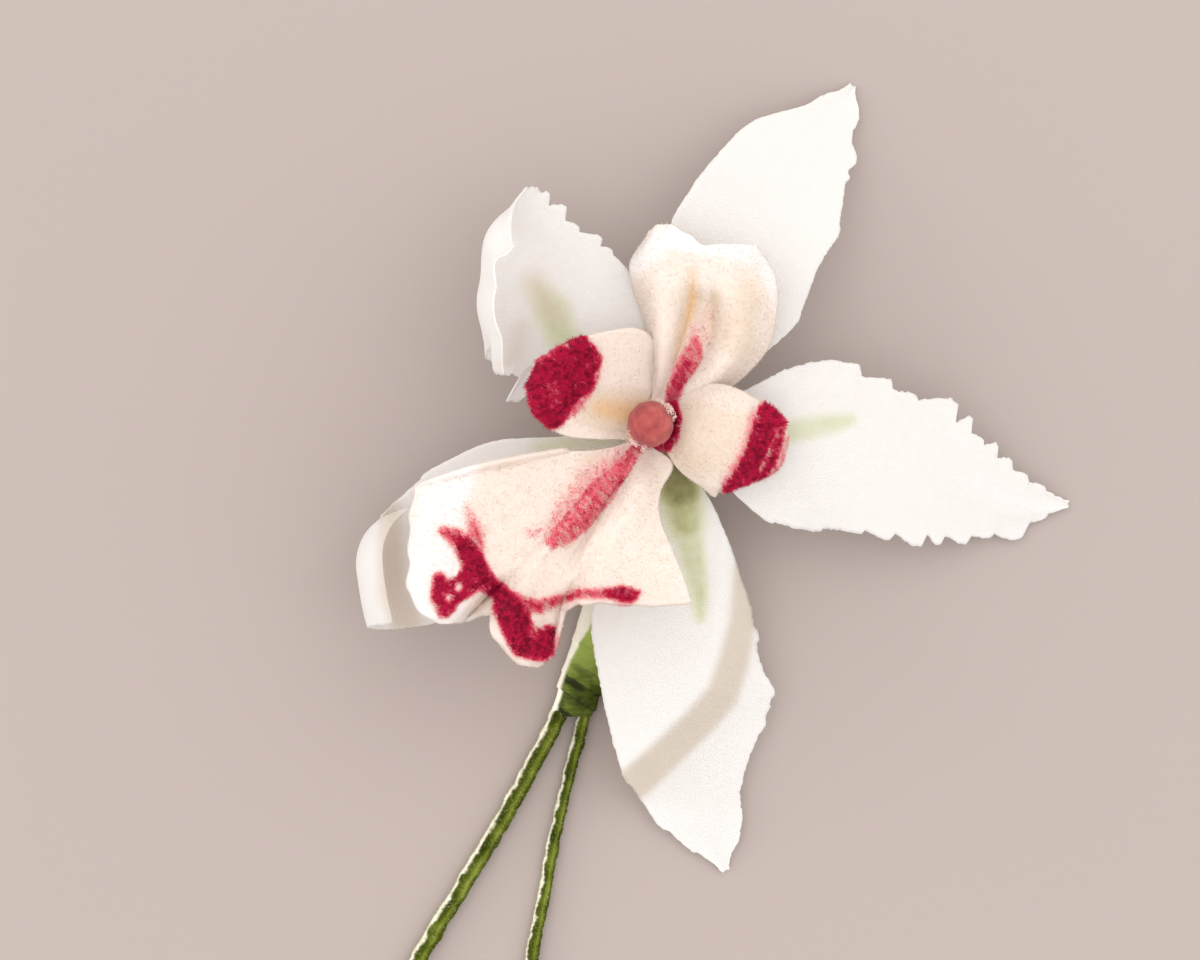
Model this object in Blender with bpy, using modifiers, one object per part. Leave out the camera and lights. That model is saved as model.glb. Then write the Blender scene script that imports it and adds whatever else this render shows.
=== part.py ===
"""A fabric orchid boutonniere lying on its back: five silk petals, a velvet lip and a bead on one wire,
a taped calyx, and two thread-wrapped stems bound together at the neck.

The origin is under the flower's axis, on the surface it lies on. +Z is up, out of the flower's face,
+Y runs to the top of the bloom, and the stems run down to -Y. Shapes are worked out in millimetres and
placed in metres.
"""

import math
import random

import bmesh
import bpy
import numpy as np

MM = 0.001
MERGE = 0.00002
SHARP_ANGLE = math.radians(50)

# The bloom: silk petals cut from a woven sheet, and the velvet lip
SILK_THICK = 0.62
VELVET_THICK = 0.75
TOOTH_DEPTH = 0.75
TOOTH_PEAK = 0.75
TEETH_A_SIDE = 15
PETAL_COLUMNS = 6
SEPAL_LEVEL = 8.65
PETAL_LEVEL = 9.75

# The hub that the four lobes of the lip grow from, threaded on the wire
HUB_LEVEL = 10.85
HUB_RADIUS = 2.9
HUB_THICK = 0.95

# The bead on the end of the wire
BEAD_RADIUS = 2.5
BEAD_LEVEL = 14.1

# The wires, the thread wound round them, and the fits between them
WIRE_RADIUS = 0.35
CLEARANCE = 0.3
WIRE_BORE = WIRE_RADIUS + CLEARANCE
LONG_STEM_RADIUS = 1.0
SHORT_STEM_RADIUS = 0.78
WIRE_STANDS_OUT = 0.7
STEM_STEP = 3.0
BEND_STEP = 1.1
TUBE_RESOLUTION = 2

# The calyx, a taped knob with a flat foot, as (radius, height) down its outer side
CALYX_TOP = 8.0
CALYX_FOOT_RADIUS = 1.9
CALYX_PROFILE = (
    (2.5, CALYX_TOP),
    (3.05, 7.4),
    (2.95, 5.6),
    (2.45, 3.4),
    (2.2, 1.2),
    (CALYX_FOOT_RADIUS, 0.0),
)
CALYX_SIDES = 24
CALYX_BORE_REACH = 5.0

# The tape that binds the two stems at the neck: where it starts and ends down -Y, how far apart its
# turns lie, and where it widens to take in the short stem
TAPE_START = 3.35
TAPE_END = 29.7
TAPE_WALL = 0.35
TAPE_TURN = 1.55
TAPE_RIDGE = 0.12
TAPE_SIDES = 14
TAPE_WIDENS = (8.5, 11.5)
TAPE_LOWEST = 0.02

# The long stem: out of the calyx, down the neck, and on past the fork to its cut end
LONG_STEM = (
    (-0.75, -2.75, 1.66),
    (-2.6, -9.5, 1.68),
    (-4.6, -16.5, 1.68),
    (-6.1, -22.0, 1.68),
    (-8.3, -27.9, 1.6),
    (-11.3, -33.6, 1.15),
    (-15.5, -41.2, 1.02),
    (-22.5, -52.8, 1.02),
    (-29.2, -64.6, 1.02),
    (-34.4, -74.6, 1.02),
)
# The short stem lies beside it in the neck and parts from it at the fork
SHORT_STEM = (
    (-1.4, -12.2, 1.45),
    (-3.0, -18.2, 1.45),
    (-4.5, -23.2, 1.45),
    (-6.15, -28.0, 1.4),
    (-7.3, -32.6, 0.95),
    (-9.4, -41.2, 0.8),
    (-11.6, -52.8, 0.8),
    (-13.2, -61.0, 0.8),
    (-14.8, -69.4, 0.8),
)
# The wire of the long stem goes on through the calyx, the petals and the lip into the bead
WIRE_INTO_BLOOM = (
    (0.0, 0.0, 13.2),
    (0.0, 0.0, 9.5),
    (0.0, 0.0, 5.6),
    (-0.08, -0.3, 3.3),
    (-0.35, -1.35, 1.95),
)

# Each petal: its midrib from claw to tip, the width each side of it at even steps, and how far
# each edge turns up in radians. Left is the left side as seen walking from claw to tip.
PETALS = {
    "dorsal_sepal": {
        "midrib": (
            (0.75, 1.35, SEPAL_LEVEL),
            (4.4, 8.0, 9.3),
            (9.1, 17.1, 8.3),
            (14.2, 25.6, 4.6),
            (20.7, 34.6, 0.38),
        ),
        "left": (0.65, 3.2, 5.6, 7.3, 7.8, 7.3, 6.1, 2.7, 0.3),
        "right": (0.65, 3.9, 6.8, 8.1, 7.6, 7.4, 5.8, 3.7, 0.4),
        "turn_left": 0.45,
        "turn_right": 0.1,
        "wave": 0.35,
    },
    "right_petal": {
        "midrib": (
            (1.6, -0.35, PETAL_LEVEL),
            (9.5, -1.7, 9.9),
            (18.1, -2.5, 8.9),
            (26.3, -4.2, 6.2),
            (34.6, -6.8, 2.6),
            (42.7, -8.05, 0.38),
        ),
        "left": (0.65, 3.9, 7.0, 8.4, 7.9, 7.0, 3.9, 1.7, 0.3),
        "right": (0.65, 3.6, 6.5, 7.7, 7.4, 6.5, 5.3, 3.9, 0.3),
        "turn_left": 0.3,
        "turn_right": -0.25,
        "wave": 0.4,
    },
    "lower_sepal": {
        "midrib": (
            (0.65, -1.45, SEPAL_LEVEL),
            (2.2, -9.0, 9.5),
            (2.6, -17.0, 9.0),
            (3.3, -25.1, 7.4),
            (3.9, -32.3, 4.6),
            (5.0, -39.0, 2.2),
            (7.8, -45.4, 0.38),
        ),
        "left": (0.65, 2.9, 4.6, 7.2, 7.6, 8.6, 6.2, 3.9, 0.4),
        "right": (0.65, 3.3, 6.5, 8.7, 8.5, 7.8, 6.5, 3.5, 0.3),
        "turn_left": -0.35,
        "turn_right": 0.25,
        "wave": 0.5,
    },
    "left_sepal": {
        "midrib": (
            (-1.25, -0.95, SEPAL_LEVEL),
            (-8.5, -5.0, 9.2),
            (-16.0, -9.3, 8.4),
            (-22.4, -13.1, 6.4),
            (-26.3, -15.3, 8.0),
            (-28.1, -16.0, 12.2),
            (-27.4, -15.8, 16.4),
        ),
        "left": (0.65, 3.6, 7.4, 8.6, 8.2, 5.9, 0.9),
        "right": (0.65, 3.4, 5.9, 6.2, 4.9, 3.3, 0.9),
        "turn_left": 0.25,
        "turn_right": 0.3,
        "wave": 0.3,
    },
    "left_petal": {
        "midrib": (
            (-0.75, 1.45, PETAL_LEVEL),
            (-3.4, 5.7, 9.9),
            (-6.8, 9.2, 9.4),
            (-11.0, 11.8, 9.0),
            (-15.2, 13.2, 10.9),
            (-16.9, 13.4, 15.1),
            (-15.9, 12.8, 19.8),
        ),
        "left": (0.65, 1.9, 4.2, 7.6, 8.6, 8.0, 6.6, 4.8, 0.9),
        "right": (0.65, 3.4, 6.4, 8.2, 8.6, 10.6, 9.0, 5.8, 0.9),
        "turn_left": 0.45,
        "turn_right": 0.3,
        "wave": 0.3,
    },
}

# The three plain lobes of the lip, in the same words
UPPER_LOBE = {
    "midrib": (
        (0.9, 1.5, HUB_LEVEL),
        (2.2, 4.6, 11.8),
        (3.3, 8.2, 12.6),
        (4.3, 12.0, 13.6),
        (5.2, 17.2, 15.2),
    ),
    "left": (1.0, 2.0, 3.3, 5.0, 6.2, 5.8, 4.2),
    "right": (1.2, 4.8, 7.4, 8.2, 8.0, 7.0, 5.2),
}
LEFT_LOBE = {
    "midrib": (
        (-1.3, 0.5, HUB_LEVEL),
        (-3.4, 1.5, 11.6),
        (-6.2, 2.9, 13.2),
        (-9.0, 4.2, 15.8),
        (-11.0, 5.1, 19.2),
        (-11.6, 5.4, 22.0),
    ),
    "left": (1.2, 2.9, 4.4, 5.1, 5.0, 4.5, 2.8),
    "right": (1.2, 2.9, 4.4, 5.1, 5.0, 4.3, 2.6),
    "turn": 0.5,
}
RIGHT_LOBE = {
    "midrib": (
        (1.3, -0.35, HUB_LEVEL),
        (2.9, -0.6, 13.2),
        (4.8, -1.0, 16.2),
        (7.6, -1.7, 17.8),
        (10.4, -2.6, 16.6),
        (12.6, -3.3, 13.6),
    ),
    "left": (1.2, 3.2, 4.6, 5.3, 5.2, 4.8, 3.9),
    "right": (1.2, 3.2, 4.8, 5.4, 5.2, 4.8, 3.9),
    "turn": -0.95,
}
CHEEK_HEIGHT = 3.2
CHEEK_REACH = 2.2

# The front lobe fans out from a pole beside the bead. Its two sides and its front edge are given
# by their bearings in degrees and their reach, from the bloom's left round to its right
FAN_POLE = (-0.5, -1.0)
FAN_LEFT_BEARING = (206.0, 198.0, 191.0, 189.0, 192.0, 199.0, 206.0)
FAN_RIGHT_BEARING = (300.0, 316.0, 302.0, 283.0, 280.0, 281.0, 283.0)
FAN_ROOT = 1.4
FRONT_EDGE = (
    (206.0, 22.4),
    (214.0, 25.2),
    (222.0, 25.6),
    (228.5, 22.6),
    (236.0, 24.2),
    (243.0, 25.2),
    (249.0, 21.0),
    (255.0, 17.6),
    (264.0, 17.0),
    (274.0, 17.0),
    (283.0, 17.2),
)
# How far the front edge is lifted or let down round the same bearings, as a ruffle
RUFFLE = (
    (206.0, -1.0),
    (214.0, 1.6),
    (222.0, 1.2),
    (229.0, 3.0),
    (236.0, -1.0),
    (243.0, -4.4),
    (251.0, 0.6),
    (262.0, -1.4),
    (274.0, -2.2),
    (283.0, -1.6),
)
RUFFLE_START = 0.62
FAN_RISE = 10.5
# The crease that the stripe runs in, by its bearing from root to end, and the ridge beyond it
CREASE_BEARING = (258.0, 251.0, 245.0, 240.0, 233.0, 226.0)
CREASE_END = 0.72
CREASE_DEPTH = 1.3
CREASE_WIDTH = 7.0
RIDGE_HEIGHT = 2.4
RIDGE_WIDTH = 12.0
RIDGE_BEHIND_CREASE = 15.0

COLOURS = {
    "silk": ((0.93, 0.9, 0.87), 0.65),
    "velvet": ((0.92, 0.86, 0.76), 0.95),
    "bead": ((0.62, 0.13, 0.14), 0.8),
    "thread": ((0.16, 0.25, 0.05), 0.85),
    "tape": ((0.13, 0.24, 0.05), 0.7),
    "wire": ((0.55, 0.55, 0.56), 0.35),
}
METALS = ("wire",)


def through(values, share):
    """A smooth curve through evenly spaced values, read at a share of its way from 0 to 1."""
    values = np.asarray(values, float)
    last = len(values) - 1
    place = min(max(share, 0.0), 1.0) * last
    k = min(int(place), last - 1)
    t = place - k
    before, start, end, after = (values[min(max(i, 0), last)] for i in range(k - 1, k + 3))
    return 0.5 * (
        2 * start
        + (end - before) * t
        + (2 * before - 5 * start + 4 * end - after) * t**2
        + (3 * start - before - 3 * end + after) * t**3
    )


def between(pairs, place):
    """A value read off a list of (place, value) pairs, eased from each pair to the next."""
    for (start, low), (end, high) in zip(pairs, pairs[1:]):
        if place <= end:
            t = min(max((place - start) / (end - start), 0.0), 1.0)
            return low + (high - low) * t * t * (3 - 2 * t)
    return pairs[-1][1]


def eased(start, end, value):
    """0 before start, 1 after end, and smooth between them."""
    t = min(max((value - start) / (end - start), 0.0), 1.0)
    return t * t * (3 - 2 * t)


class Midrib:
    """A smooth line through points, with its direction, its left side and its upper face along it."""

    SAMPLES = 160

    def __init__(self, points):
        shares = np.linspace(0, 1, self.SAMPLES)
        self.line = np.array([through(points, s) for s in shares])
        steps = np.linalg.norm(np.diff(self.line, axis=0), axis=1)
        self.run = np.concatenate([[0], np.cumsum(steps)])
        self.length = self.run[-1]
        forward = np.gradient(self.line, axis=0)
        self.forward = forward / np.linalg.norm(forward, axis=1)[:, None]
        left = np.cross((0, 0, 1), self.forward[0])
        if not left.any():
            left = np.array((1.0, 0.0, 0.0))
        lefts = []
        for direction in self.forward:
            left = left - direction * (left @ direction)
            left = left / np.linalg.norm(left)
            lefts.append(left)
        self.left = np.array(lefts)
        self.up = np.cross(self.forward, self.left)

    def at(self, share):
        """(point, forward, left, up) at a share of the length."""
        place = share * self.length
        return tuple(
            np.array([np.interp(place, self.run, part[:, axis]) for axis in range(3)])
            for part in (self.line, self.forward, self.left, self.up)
        )


def across(width, side, turn):
    """How far out and how far up a point lies, a share `side` of the way to an edge that turns up."""
    reach = width * abs(side)
    if abs(turn) < 1e-3:
        return math.copysign(reach, side), 0.0
    bend = turn / width
    return math.copysign(math.sin(bend * reach) / bend, side), (1 - math.cos(bend * reach)) / bend


def tooth(share, depths):
    """How far a cut tooth stands out of the edge: a slow rise towards the tip and a sharp fall."""
    place = min(share, 0.999999) * len(depths)
    k = int(place)
    part = place - k
    rise = part / TOOTH_PEAK if part < TOOTH_PEAK else (1 - part) / (1 - TOOTH_PEAK)
    return depths[k] * rise


def petal_surface(spec, seed):
    """A function from (share along, side across) to a point on a silk petal with toothed edges."""
    midrib = Midrib(spec["midrib"])
    draw = random.Random(seed)
    teeth = {}
    for side in ("left", "right"):
        teeth[side] = [TOOTH_DEPTH * draw.uniform(0.15, 1.0) for _ in range(TEETH_A_SIDE)]

    def point(share, side):
        where, _, left, up = midrib.at(share)
        name = "left" if side >= 0 else "right"
        width = max(float(through(spec[name], share)), 0.3)
        if abs(side) > 0.999:
            width += tooth(share, teeth[name]) * eased(0.12, 0.3, share)
        out, lift = across(width, side, spec["turn_" + name] * eased(0.0, 0.35, share))
        lift += spec["wave"] * side * side * math.sin(2 * math.pi * (2.3 * share + 0.2 * side))
        return where + left * out + up * lift

    return point


def lobe_surface(spec):
    """A function from (share along, side across) to a point on a plain velvet lobe, cupped or arched."""
    midrib = Midrib(spec["midrib"])

    def point(share, side):
        where, _, left, up = midrib.at(share)
        width = float(through(spec["left" if side >= 0 else "right"], share))
        out, lift = across(width, side, spec["turn"] * eased(0.0, 0.5, share))
        return where + left * out + up * lift

    return point


def upper_lobe_surface():
    """The upper lobe: two round cheeks either side of a groove."""
    midrib = Midrib(UPPER_LOBE["midrib"])

    def point(share, side):
        where, forward, left, up = midrib.at(share)
        width = float(through(UPPER_LOBE["left" if side >= 0 else "right"], share))
        cheek = math.sin(math.pi * min(abs(side) ** 0.8, 1.0))
        swell = eased(0.0, 0.45, share) * (1 - 0.85 * eased(0.7, 1.0, share))
        lift = CHEEK_HEIGHT * cheek * swell - 1.6 * abs(side) ** 4 * eased(0.1, 0.5, share)
        lift -= 2.2 * eased(0.75, 1.0, share) * abs(side)
        reach = CHEEK_REACH * cheek * eased(0.6, 1.0, share)
        return where + left * (width * side) + up * lift + forward * reach

    return point


def fan_height(share, bearing):
    """How high the front lobe stands above the hub, with its crease, its ridge and its ruffled edge."""
    height = FAN_RISE * share**1.15 * (1 - 0.2 * eased(250.0, 280.0, bearing))
    crease = float(through(CREASE_BEARING, min(share / CREASE_END, 1.0)))
    fading = eased(0.06, 0.25, share) * (1 - eased(CREASE_END - 0.2, CREASE_END + 0.12, share))
    height -= CREASE_DEPTH * fading * math.exp(-(((bearing - crease) / CREASE_WIDTH) ** 2))
    beyond = bearing - crease - RIDGE_BEHIND_CREASE
    height += RIDGE_HEIGHT * fading * math.exp(-((beyond / RIDGE_WIDTH) ** 2))
    return height + between(RUFFLE, bearing) * eased(RUFFLE_START, 1.0, share)


def front_lobe_surface():
    """The front lobe: a fan from the bead to the ruffled edge, rising to the viewer."""

    def point(share, side):
        low = float(through(FAN_LEFT_BEARING, share))
        high = float(through(FAN_RIGHT_BEARING, share))
        bearing = low + (high - low) * (side + 1) / 2
        reach = FAN_ROOT + (between(FRONT_EDGE, bearing) - FAN_ROOT) * share
        angle = math.radians(bearing)
        return np.array((
            FAN_POLE[0] + reach * math.cos(angle),
            FAN_POLE[1] + reach * math.sin(angle),
            HUB_LEVEL + fan_height(share, bearing),
        ))

    return point


def clear_scene():
    for obj in list(bpy.data.objects):
        bpy.data.objects.remove(obj, do_unlink=True)


def new_collection(name):
    collection = bpy.data.collections.new(name)
    bpy.context.scene.collection.children.link(collection)
    return collection


def material(name):
    """One finish of the object, made once."""
    if name in bpy.data.materials:
        return bpy.data.materials[name]
    colour, roughness = COLOURS[name]
    made = bpy.data.materials.new(name)
    made.use_nodes = True
    shader = made.node_tree.nodes["Principled BSDF"]
    shader.inputs["Base Color"].default_value = (*colour, 1.0)
    shader.inputs["Roughness"].default_value = roughness
    shader.inputs["Metallic"].default_value = 1.0 if name in METALS else 0.0
    return made


def new_object(name, mesh, collection, finish=None):
    obj = bpy.data.objects.new(name, mesh)
    collection.objects.link(obj)
    if finish:
        obj.data.materials.append(material(finish))
    if mesh.polygons:
        mesh.shade_smooth()
        mesh.set_sharp_from_angle(angle=SHARP_ANGLE)
    return obj


def sheet_mesh(name, surface, shares, columns):
    """A triangulated open sheet: a grid whose points are moved onto a surface."""
    bm = bmesh.new()
    rows = len(shares) - 1
    bmesh.ops.create_grid(bm, x_segments=rows, y_segments=columns, size=1.0)
    for vert in bm.verts:
        row = round((vert.co.x + 1) / 2 * rows)
        vert.co = surface(shares[row], round(vert.co.y * columns) / columns) * MM
    bmesh.ops.triangulate(bm, faces=bm.faces[:], quad_method="SHORT_EDGE")
    mesh = bpy.data.meshes.new(name)
    bm.to_mesh(mesh)
    bm.free()
    return mesh


def thicken(obj, thickness):
    """Gives an open sheet its thickness, half to each side."""
    solid = obj.modifiers.new("thickness", "SOLIDIFY")
    solid.thickness = thickness * MM
    solid.offset = 0.0
    solid.use_even_offset = False


def applied(obj):
    """The object with its modifiers made part of a new mesh in world space."""
    graph = bpy.context.evaluated_depsgraph_get()
    graph.update()
    mesh = bpy.data.meshes.new_from_object(obj.evaluated_get(graph))
    mesh.transform(obj.matrix_world)
    return mesh


def make_petal(name, spec, seed, collection):
    """One silk petal, with a row of points at each tooth's foot and peak."""
    foots = [k / TEETH_A_SIDE for k in range(TEETH_A_SIDE)]
    peaks = [(k + TOOTH_PEAK) / TEETH_A_SIDE for k in range(TEETH_A_SIDE)]
    shares = sorted(foots + peaks) + [1.0]
    mesh = sheet_mesh(name, petal_surface(spec, seed), shares, PETAL_COLUMNS)
    petal = new_object(name, mesh, collection, "silk")
    thicken(petal, SILK_THICK)
    return petal


def cylinder_mesh(name, radius, height, sides):
    bm = bmesh.new()
    bmesh.ops.create_cone(
        bm, cap_ends=True, segments=sides, radius1=radius * MM, radius2=radius * MM, depth=height * MM
    )
    mesh = bpy.data.meshes.new(name)
    bm.to_mesh(mesh)
    bm.free()
    return mesh


def add_boolean(obj, operation, other):
    cut = obj.modifiers.new("join" if operation == "UNION" else "bore", "BOOLEAN")
    cut.operation = operation
    cut.solver = "EXACT"
    if isinstance(other, bpy.types.Collection):
        cut.operand_type = "COLLECTION"
        cut.collection = other
    else:
        cut.object = other
    return cut


def make_cutter(obj, cutters):
    """Keeps a helper out of the model."""
    for collection in list(obj.users_collection):
        collection.objects.unlink(obj)
    cutters.objects.link(obj)
    obj.hide_render = True
    obj.display_type = "WIRE"
    return obj


def make_lip(collection, cutters):
    """The velvet lip: four lobes grown from one hub, which has a hole for the wire."""
    lobes = new_collection("lip lobes")
    shapes = (
        ("upper lobe", upper_lobe_surface(), 11, 12),
        ("left lobe", lobe_surface(LEFT_LOBE), 9, 8),
        ("right lobe", lobe_surface(RIGHT_LOBE), 10, 8),
        ("front lobe", front_lobe_surface(), 16, 24),
    )
    for name, surface, rows, columns in shapes:
        shares = np.linspace(0, 1, rows + 1)
        lobe = new_object(name, sheet_mesh(name, surface, shares, columns), lobes)
        thicken(lobe, VELVET_THICK)
    hub = new_object("lip hub", cylinder_mesh("lip hub", HUB_RADIUS, HUB_THICK, 18), collection)
    hub.location.z = HUB_LEVEL * MM
    add_boolean(hub, "UNION", lobes)
    bpy.context.view_layer.update()
    lip = new_object("lip", applied(hub), collection, "velvet")
    for obj in [hub, *lobes.objects]:
        bpy.data.objects.remove(obj, do_unlink=True)
    bpy.data.collections.remove(lobes)
    hole = new_object("lip hole", cylinder_mesh("lip hole", WIRE_BORE, HUB_RADIUS * 2, 10), collection)
    hole.location.z = HUB_LEVEL * MM
    add_boolean(lip, "DIFFERENCE", make_cutter(hole, cutters))
    return lip


def make_bead(collection, cutters):
    """The bead, pushed onto the end of the wire."""
    bm = bmesh.new()
    bmesh.ops.create_uvsphere(bm, u_segments=16, v_segments=10, radius=BEAD_RADIUS * MM)
    mesh = bpy.data.meshes.new("bead")
    bm.to_mesh(mesh)
    bm.free()
    bead = new_object("bead", mesh, collection, "bead")
    bead.location.z = BEAD_LEVEL * MM
    wire_end = WIRE_INTO_BLOOM[0][2] + CLEARANCE
    bottom = BEAD_LEVEL - BEAD_RADIUS - 1.0
    bore_mesh = cylinder_mesh("bead bore", WIRE_BORE, wire_end - bottom, 10)
    bore = new_object("bead bore", bore_mesh, collection)
    bore.location.z = (wire_end + bottom) / 2 * MM
    add_boolean(bead, "DIFFERENCE", make_cutter(bore, cutters))
    return bead


def smooth_route(points, step):
    """Points a step apart along a smooth line through the route's own points."""
    line = Midrib(points)
    count = max(2, round(line.length / step))
    return [line.at(k / count)[0] for k in range(count + 1)]


def extended(points, before, after):
    """The same route with its two ends carried on in a straight line."""
    points = [np.array(p, float) for p in points]
    start, end = points[0] - points[1], points[-1] - points[-2]
    points[0] = points[0] + start / np.linalg.norm(start) * before
    points[-1] = points[-1] + end / np.linalg.norm(end) * after
    return points


def tube(name, route, radius, collection, finish=None):
    """A round tube along a route, as a mesh with closed ends."""
    curve = bpy.data.curves.new(name, "CURVE")
    curve.dimensions = "3D"
    curve.bevel_depth = radius * MM
    curve.bevel_resolution = TUBE_RESOLUTION
    curve.use_fill_caps = True
    spline = curve.splines.new("POLY")
    spline.points.add(len(route) - 1)
    for point, where in zip(spline.points, route):
        point.co = (*(np.array(where) * MM), 1.0)
    guide = bpy.data.objects.new(name + " curve", curve)
    collection.objects.link(guide)
    bpy.context.view_layer.update()
    mesh = applied(guide)
    bpy.data.objects.remove(guide, do_unlink=True)
    bm = bmesh.new()
    bm.from_mesh(mesh)
    bmesh.ops.remove_doubles(bm, verts=bm.verts[:], dist=MERGE)
    bmesh.ops.recalc_face_normals(bm, faces=bm.faces[:])
    bm.to_mesh(mesh)
    bm.free()
    return new_object(name, mesh, collection, finish)


def make_stem(name, route, radius, collection, cutters):
    """A stem's winding of green thread, hollow where its wire runs."""
    points = smooth_route(route, STEM_STEP)
    winding = tube(name, points, radius, collection, "thread")
    bore = tube(name + " bore", extended(points, 1.0, 1.0), WIRE_BORE, collection)
    add_boolean(winding, "DIFFERENCE", make_cutter(bore, cutters))
    return winding


def make_wires(collection):
    """The long stem's wire, which carries the bloom, and the short stem's."""
    points = smooth_route(LONG_STEM, STEM_STEP)
    into_bloom = smooth_route(WIRE_INTO_BLOOM + (LONG_STEM[0],), BEND_STEP)
    long_route = into_bloom[:-1] + extended(points, 0.0, WIRE_STANDS_OUT)
    tube("bloom_wire", long_route, WIRE_RADIUS, collection, "wire")
    short = extended(smooth_route(SHORT_STEM, STEM_STEP), 0.0, WIRE_STANDS_OUT)
    tube("short_wire", short, WIRE_RADIUS, collection, "wire")
    return long_route


def make_calyx(bloom_wire_route, collection, cutters):
    """The taped knob under the bloom, bored for the wire that bends inside it."""
    mesh = bpy.data.meshes.new("calyx")
    bm = bmesh.new()
    profile = [(0.0, CALYX_TOP), *CALYX_PROFILE, (0.0, 0.0)]
    verts = [bm.verts.new((r * MM, 0.0, z * MM)) for r, z in profile]
    for a, b in zip(verts, verts[1:]):
        bm.edges.new((a, b))
    bm.to_mesh(mesh)
    bm.free()
    calyx = new_object("calyx", mesh, collection, "tape")
    turn = calyx.modifiers.new("turn", "SCREW")
    turn.axis = "Z"
    turn.steps = CALYX_SIDES
    turn.render_steps = CALYX_SIDES
    turn.use_merge_vertices = True
    turn.merge_threshold = MERGE
    turn.use_normal_calculate = False
    bend = [point for point in bloom_wire_route if point[1] > -CALYX_BORE_REACH]
    bore = tube("calyx bore", bend, WIRE_BORE, collection)
    add_boolean(calyx, "DIFFERENCE", make_cutter(bore, cutters))
    return calyx


def nearest(route, down):
    """The point of a route that lies a given way down -Y."""
    return min(route, key=lambda point: abs(point[1] + down))


def tape_sections():
    """Centre, half width, half height and level of the tape's oval at steps down the neck."""
    long_route, short_route = smooth_route(LONG_STEM, 0.2), smooth_route(SHORT_STEM, 0.2)
    around_long = LONG_STEM_RADIUS + CLEARANCE + TAPE_WALL
    around_short = SHORT_STEM_RADIUS + CLEARANCE + TAPE_WALL
    for k, down in enumerate(np.arange(TAPE_START, TAPE_END, TAPE_TURN / 2)):
        long_point, short_point = nearest(long_route, down), nearest(short_route, down)
        both = eased(*TAPE_WIDENS, down)
        left = long_point[0] - around_long
        right = (1 - both) * (long_point[0] + around_long) + both * (short_point[0] + around_short)
        ridge = TAPE_RIDGE * (k % 2)
        yield ((left + right) / 2, -down), (right - left) / 2 + ridge, around_long + ridge, long_point[2]


def make_tape(collection, cutters):
    """The tape round the two stems: a loft from a round neck to the wide oval at the fork."""
    bm = bmesh.new()
    rings = []
    for (x, y), half_width, half_height, level in tape_sections():
        ring = []
        for side in range(TAPE_SIDES):
            angle = 2 * math.pi * (side + 0.5) / TAPE_SIDES
            out = x + half_width * math.cos(angle)
            height = max(level + half_height * math.sin(angle), TAPE_LOWEST)
            ring.append(bm.verts.new((out * MM, y * MM, height * MM)))
        rings.append(ring)
    for upper, lower in zip(rings, rings[1:]):
        for side in range(TAPE_SIDES):
            after = (side + 1) % TAPE_SIDES
            bm.faces.new((upper[side], upper[after], lower[after], lower[side]))
    bm.faces.new(rings[0])
    bm.faces.new(rings[-1])
    bmesh.ops.recalc_face_normals(bm, faces=bm.faces[:])
    mesh = bpy.data.meshes.new("neck_tape")
    bm.to_mesh(mesh)
    bm.free()
    tape = new_object("neck_tape", mesh, collection, "tape")
    for name, route, radius in (
        ("long stem bore", LONG_STEM, LONG_STEM_RADIUS),
        ("short stem bore", SHORT_STEM, SHORT_STEM_RADIUS),
    ):
        points = extended(smooth_route(route, STEM_STEP), 2 * CLEARANCE, 0.0)
        bore = tube(name, points, radius + CLEARANCE, collection)
        add_boolean(tape, "DIFFERENCE", make_cutter(bore, cutters))


def main():
    clear_scene()
    model = new_collection("orchid boutonniere")
    cutters = new_collection("cutters")
    for seed, (name, spec) in enumerate(PETALS.items()):
        make_petal(name, spec, seed, model)
    make_lip(model, cutters)
    make_bead(model, cutters)
    make_stem("long_stem", LONG_STEM, LONG_STEM_RADIUS, model, cutters)
    make_stem("short_stem", SHORT_STEM, SHORT_STEM_RADIUS, model, cutters)
    bloom_wire_route = make_wires(model)
    make_calyx(bloom_wire_route, model, cutters)
    make_tape(model, cutters)


main()
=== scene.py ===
"""The looks of a fabric orchid boutonniere: woven silk petals with cut edges, a flocked velvet lip
with dyed patches, a coral bead, and thread-wound stems bound with green tape at the neck.

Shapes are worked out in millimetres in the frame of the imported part, and placed in metres.
"""

import math
import random

import bmesh
import bpy
import numpy as np
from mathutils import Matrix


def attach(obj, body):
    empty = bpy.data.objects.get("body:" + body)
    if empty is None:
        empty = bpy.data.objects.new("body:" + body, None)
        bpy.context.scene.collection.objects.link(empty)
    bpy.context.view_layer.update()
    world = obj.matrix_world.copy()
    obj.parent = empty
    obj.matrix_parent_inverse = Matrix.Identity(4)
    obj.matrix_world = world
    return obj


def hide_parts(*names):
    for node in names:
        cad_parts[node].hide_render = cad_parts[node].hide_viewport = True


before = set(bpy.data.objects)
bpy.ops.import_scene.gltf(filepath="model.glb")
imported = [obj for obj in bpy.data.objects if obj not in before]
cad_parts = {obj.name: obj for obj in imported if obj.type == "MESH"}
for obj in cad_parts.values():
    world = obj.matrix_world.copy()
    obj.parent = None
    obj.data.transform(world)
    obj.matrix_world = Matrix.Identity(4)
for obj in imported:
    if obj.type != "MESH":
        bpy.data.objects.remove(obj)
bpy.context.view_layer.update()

MM = 0.001

# The silk of the petals: its thickness, the pitch of its weave, and how finely a petal is drawn
SILK_THICK = 0.17
WEAVE_PITCH = 0.28
PETAL_ROWS = 264
PETAL_COLUMNS = 42
THREAD_STEP = 0.34
SEPAL_LEVEL = 8.65
PETAL_LEVEL = 9.75

# The velvet of the lip and the hub that its lobes grow from
VELVET_THICK = 0.45
HUB_LEVEL = 10.85
HUB_RADIUS = 2.9

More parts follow.
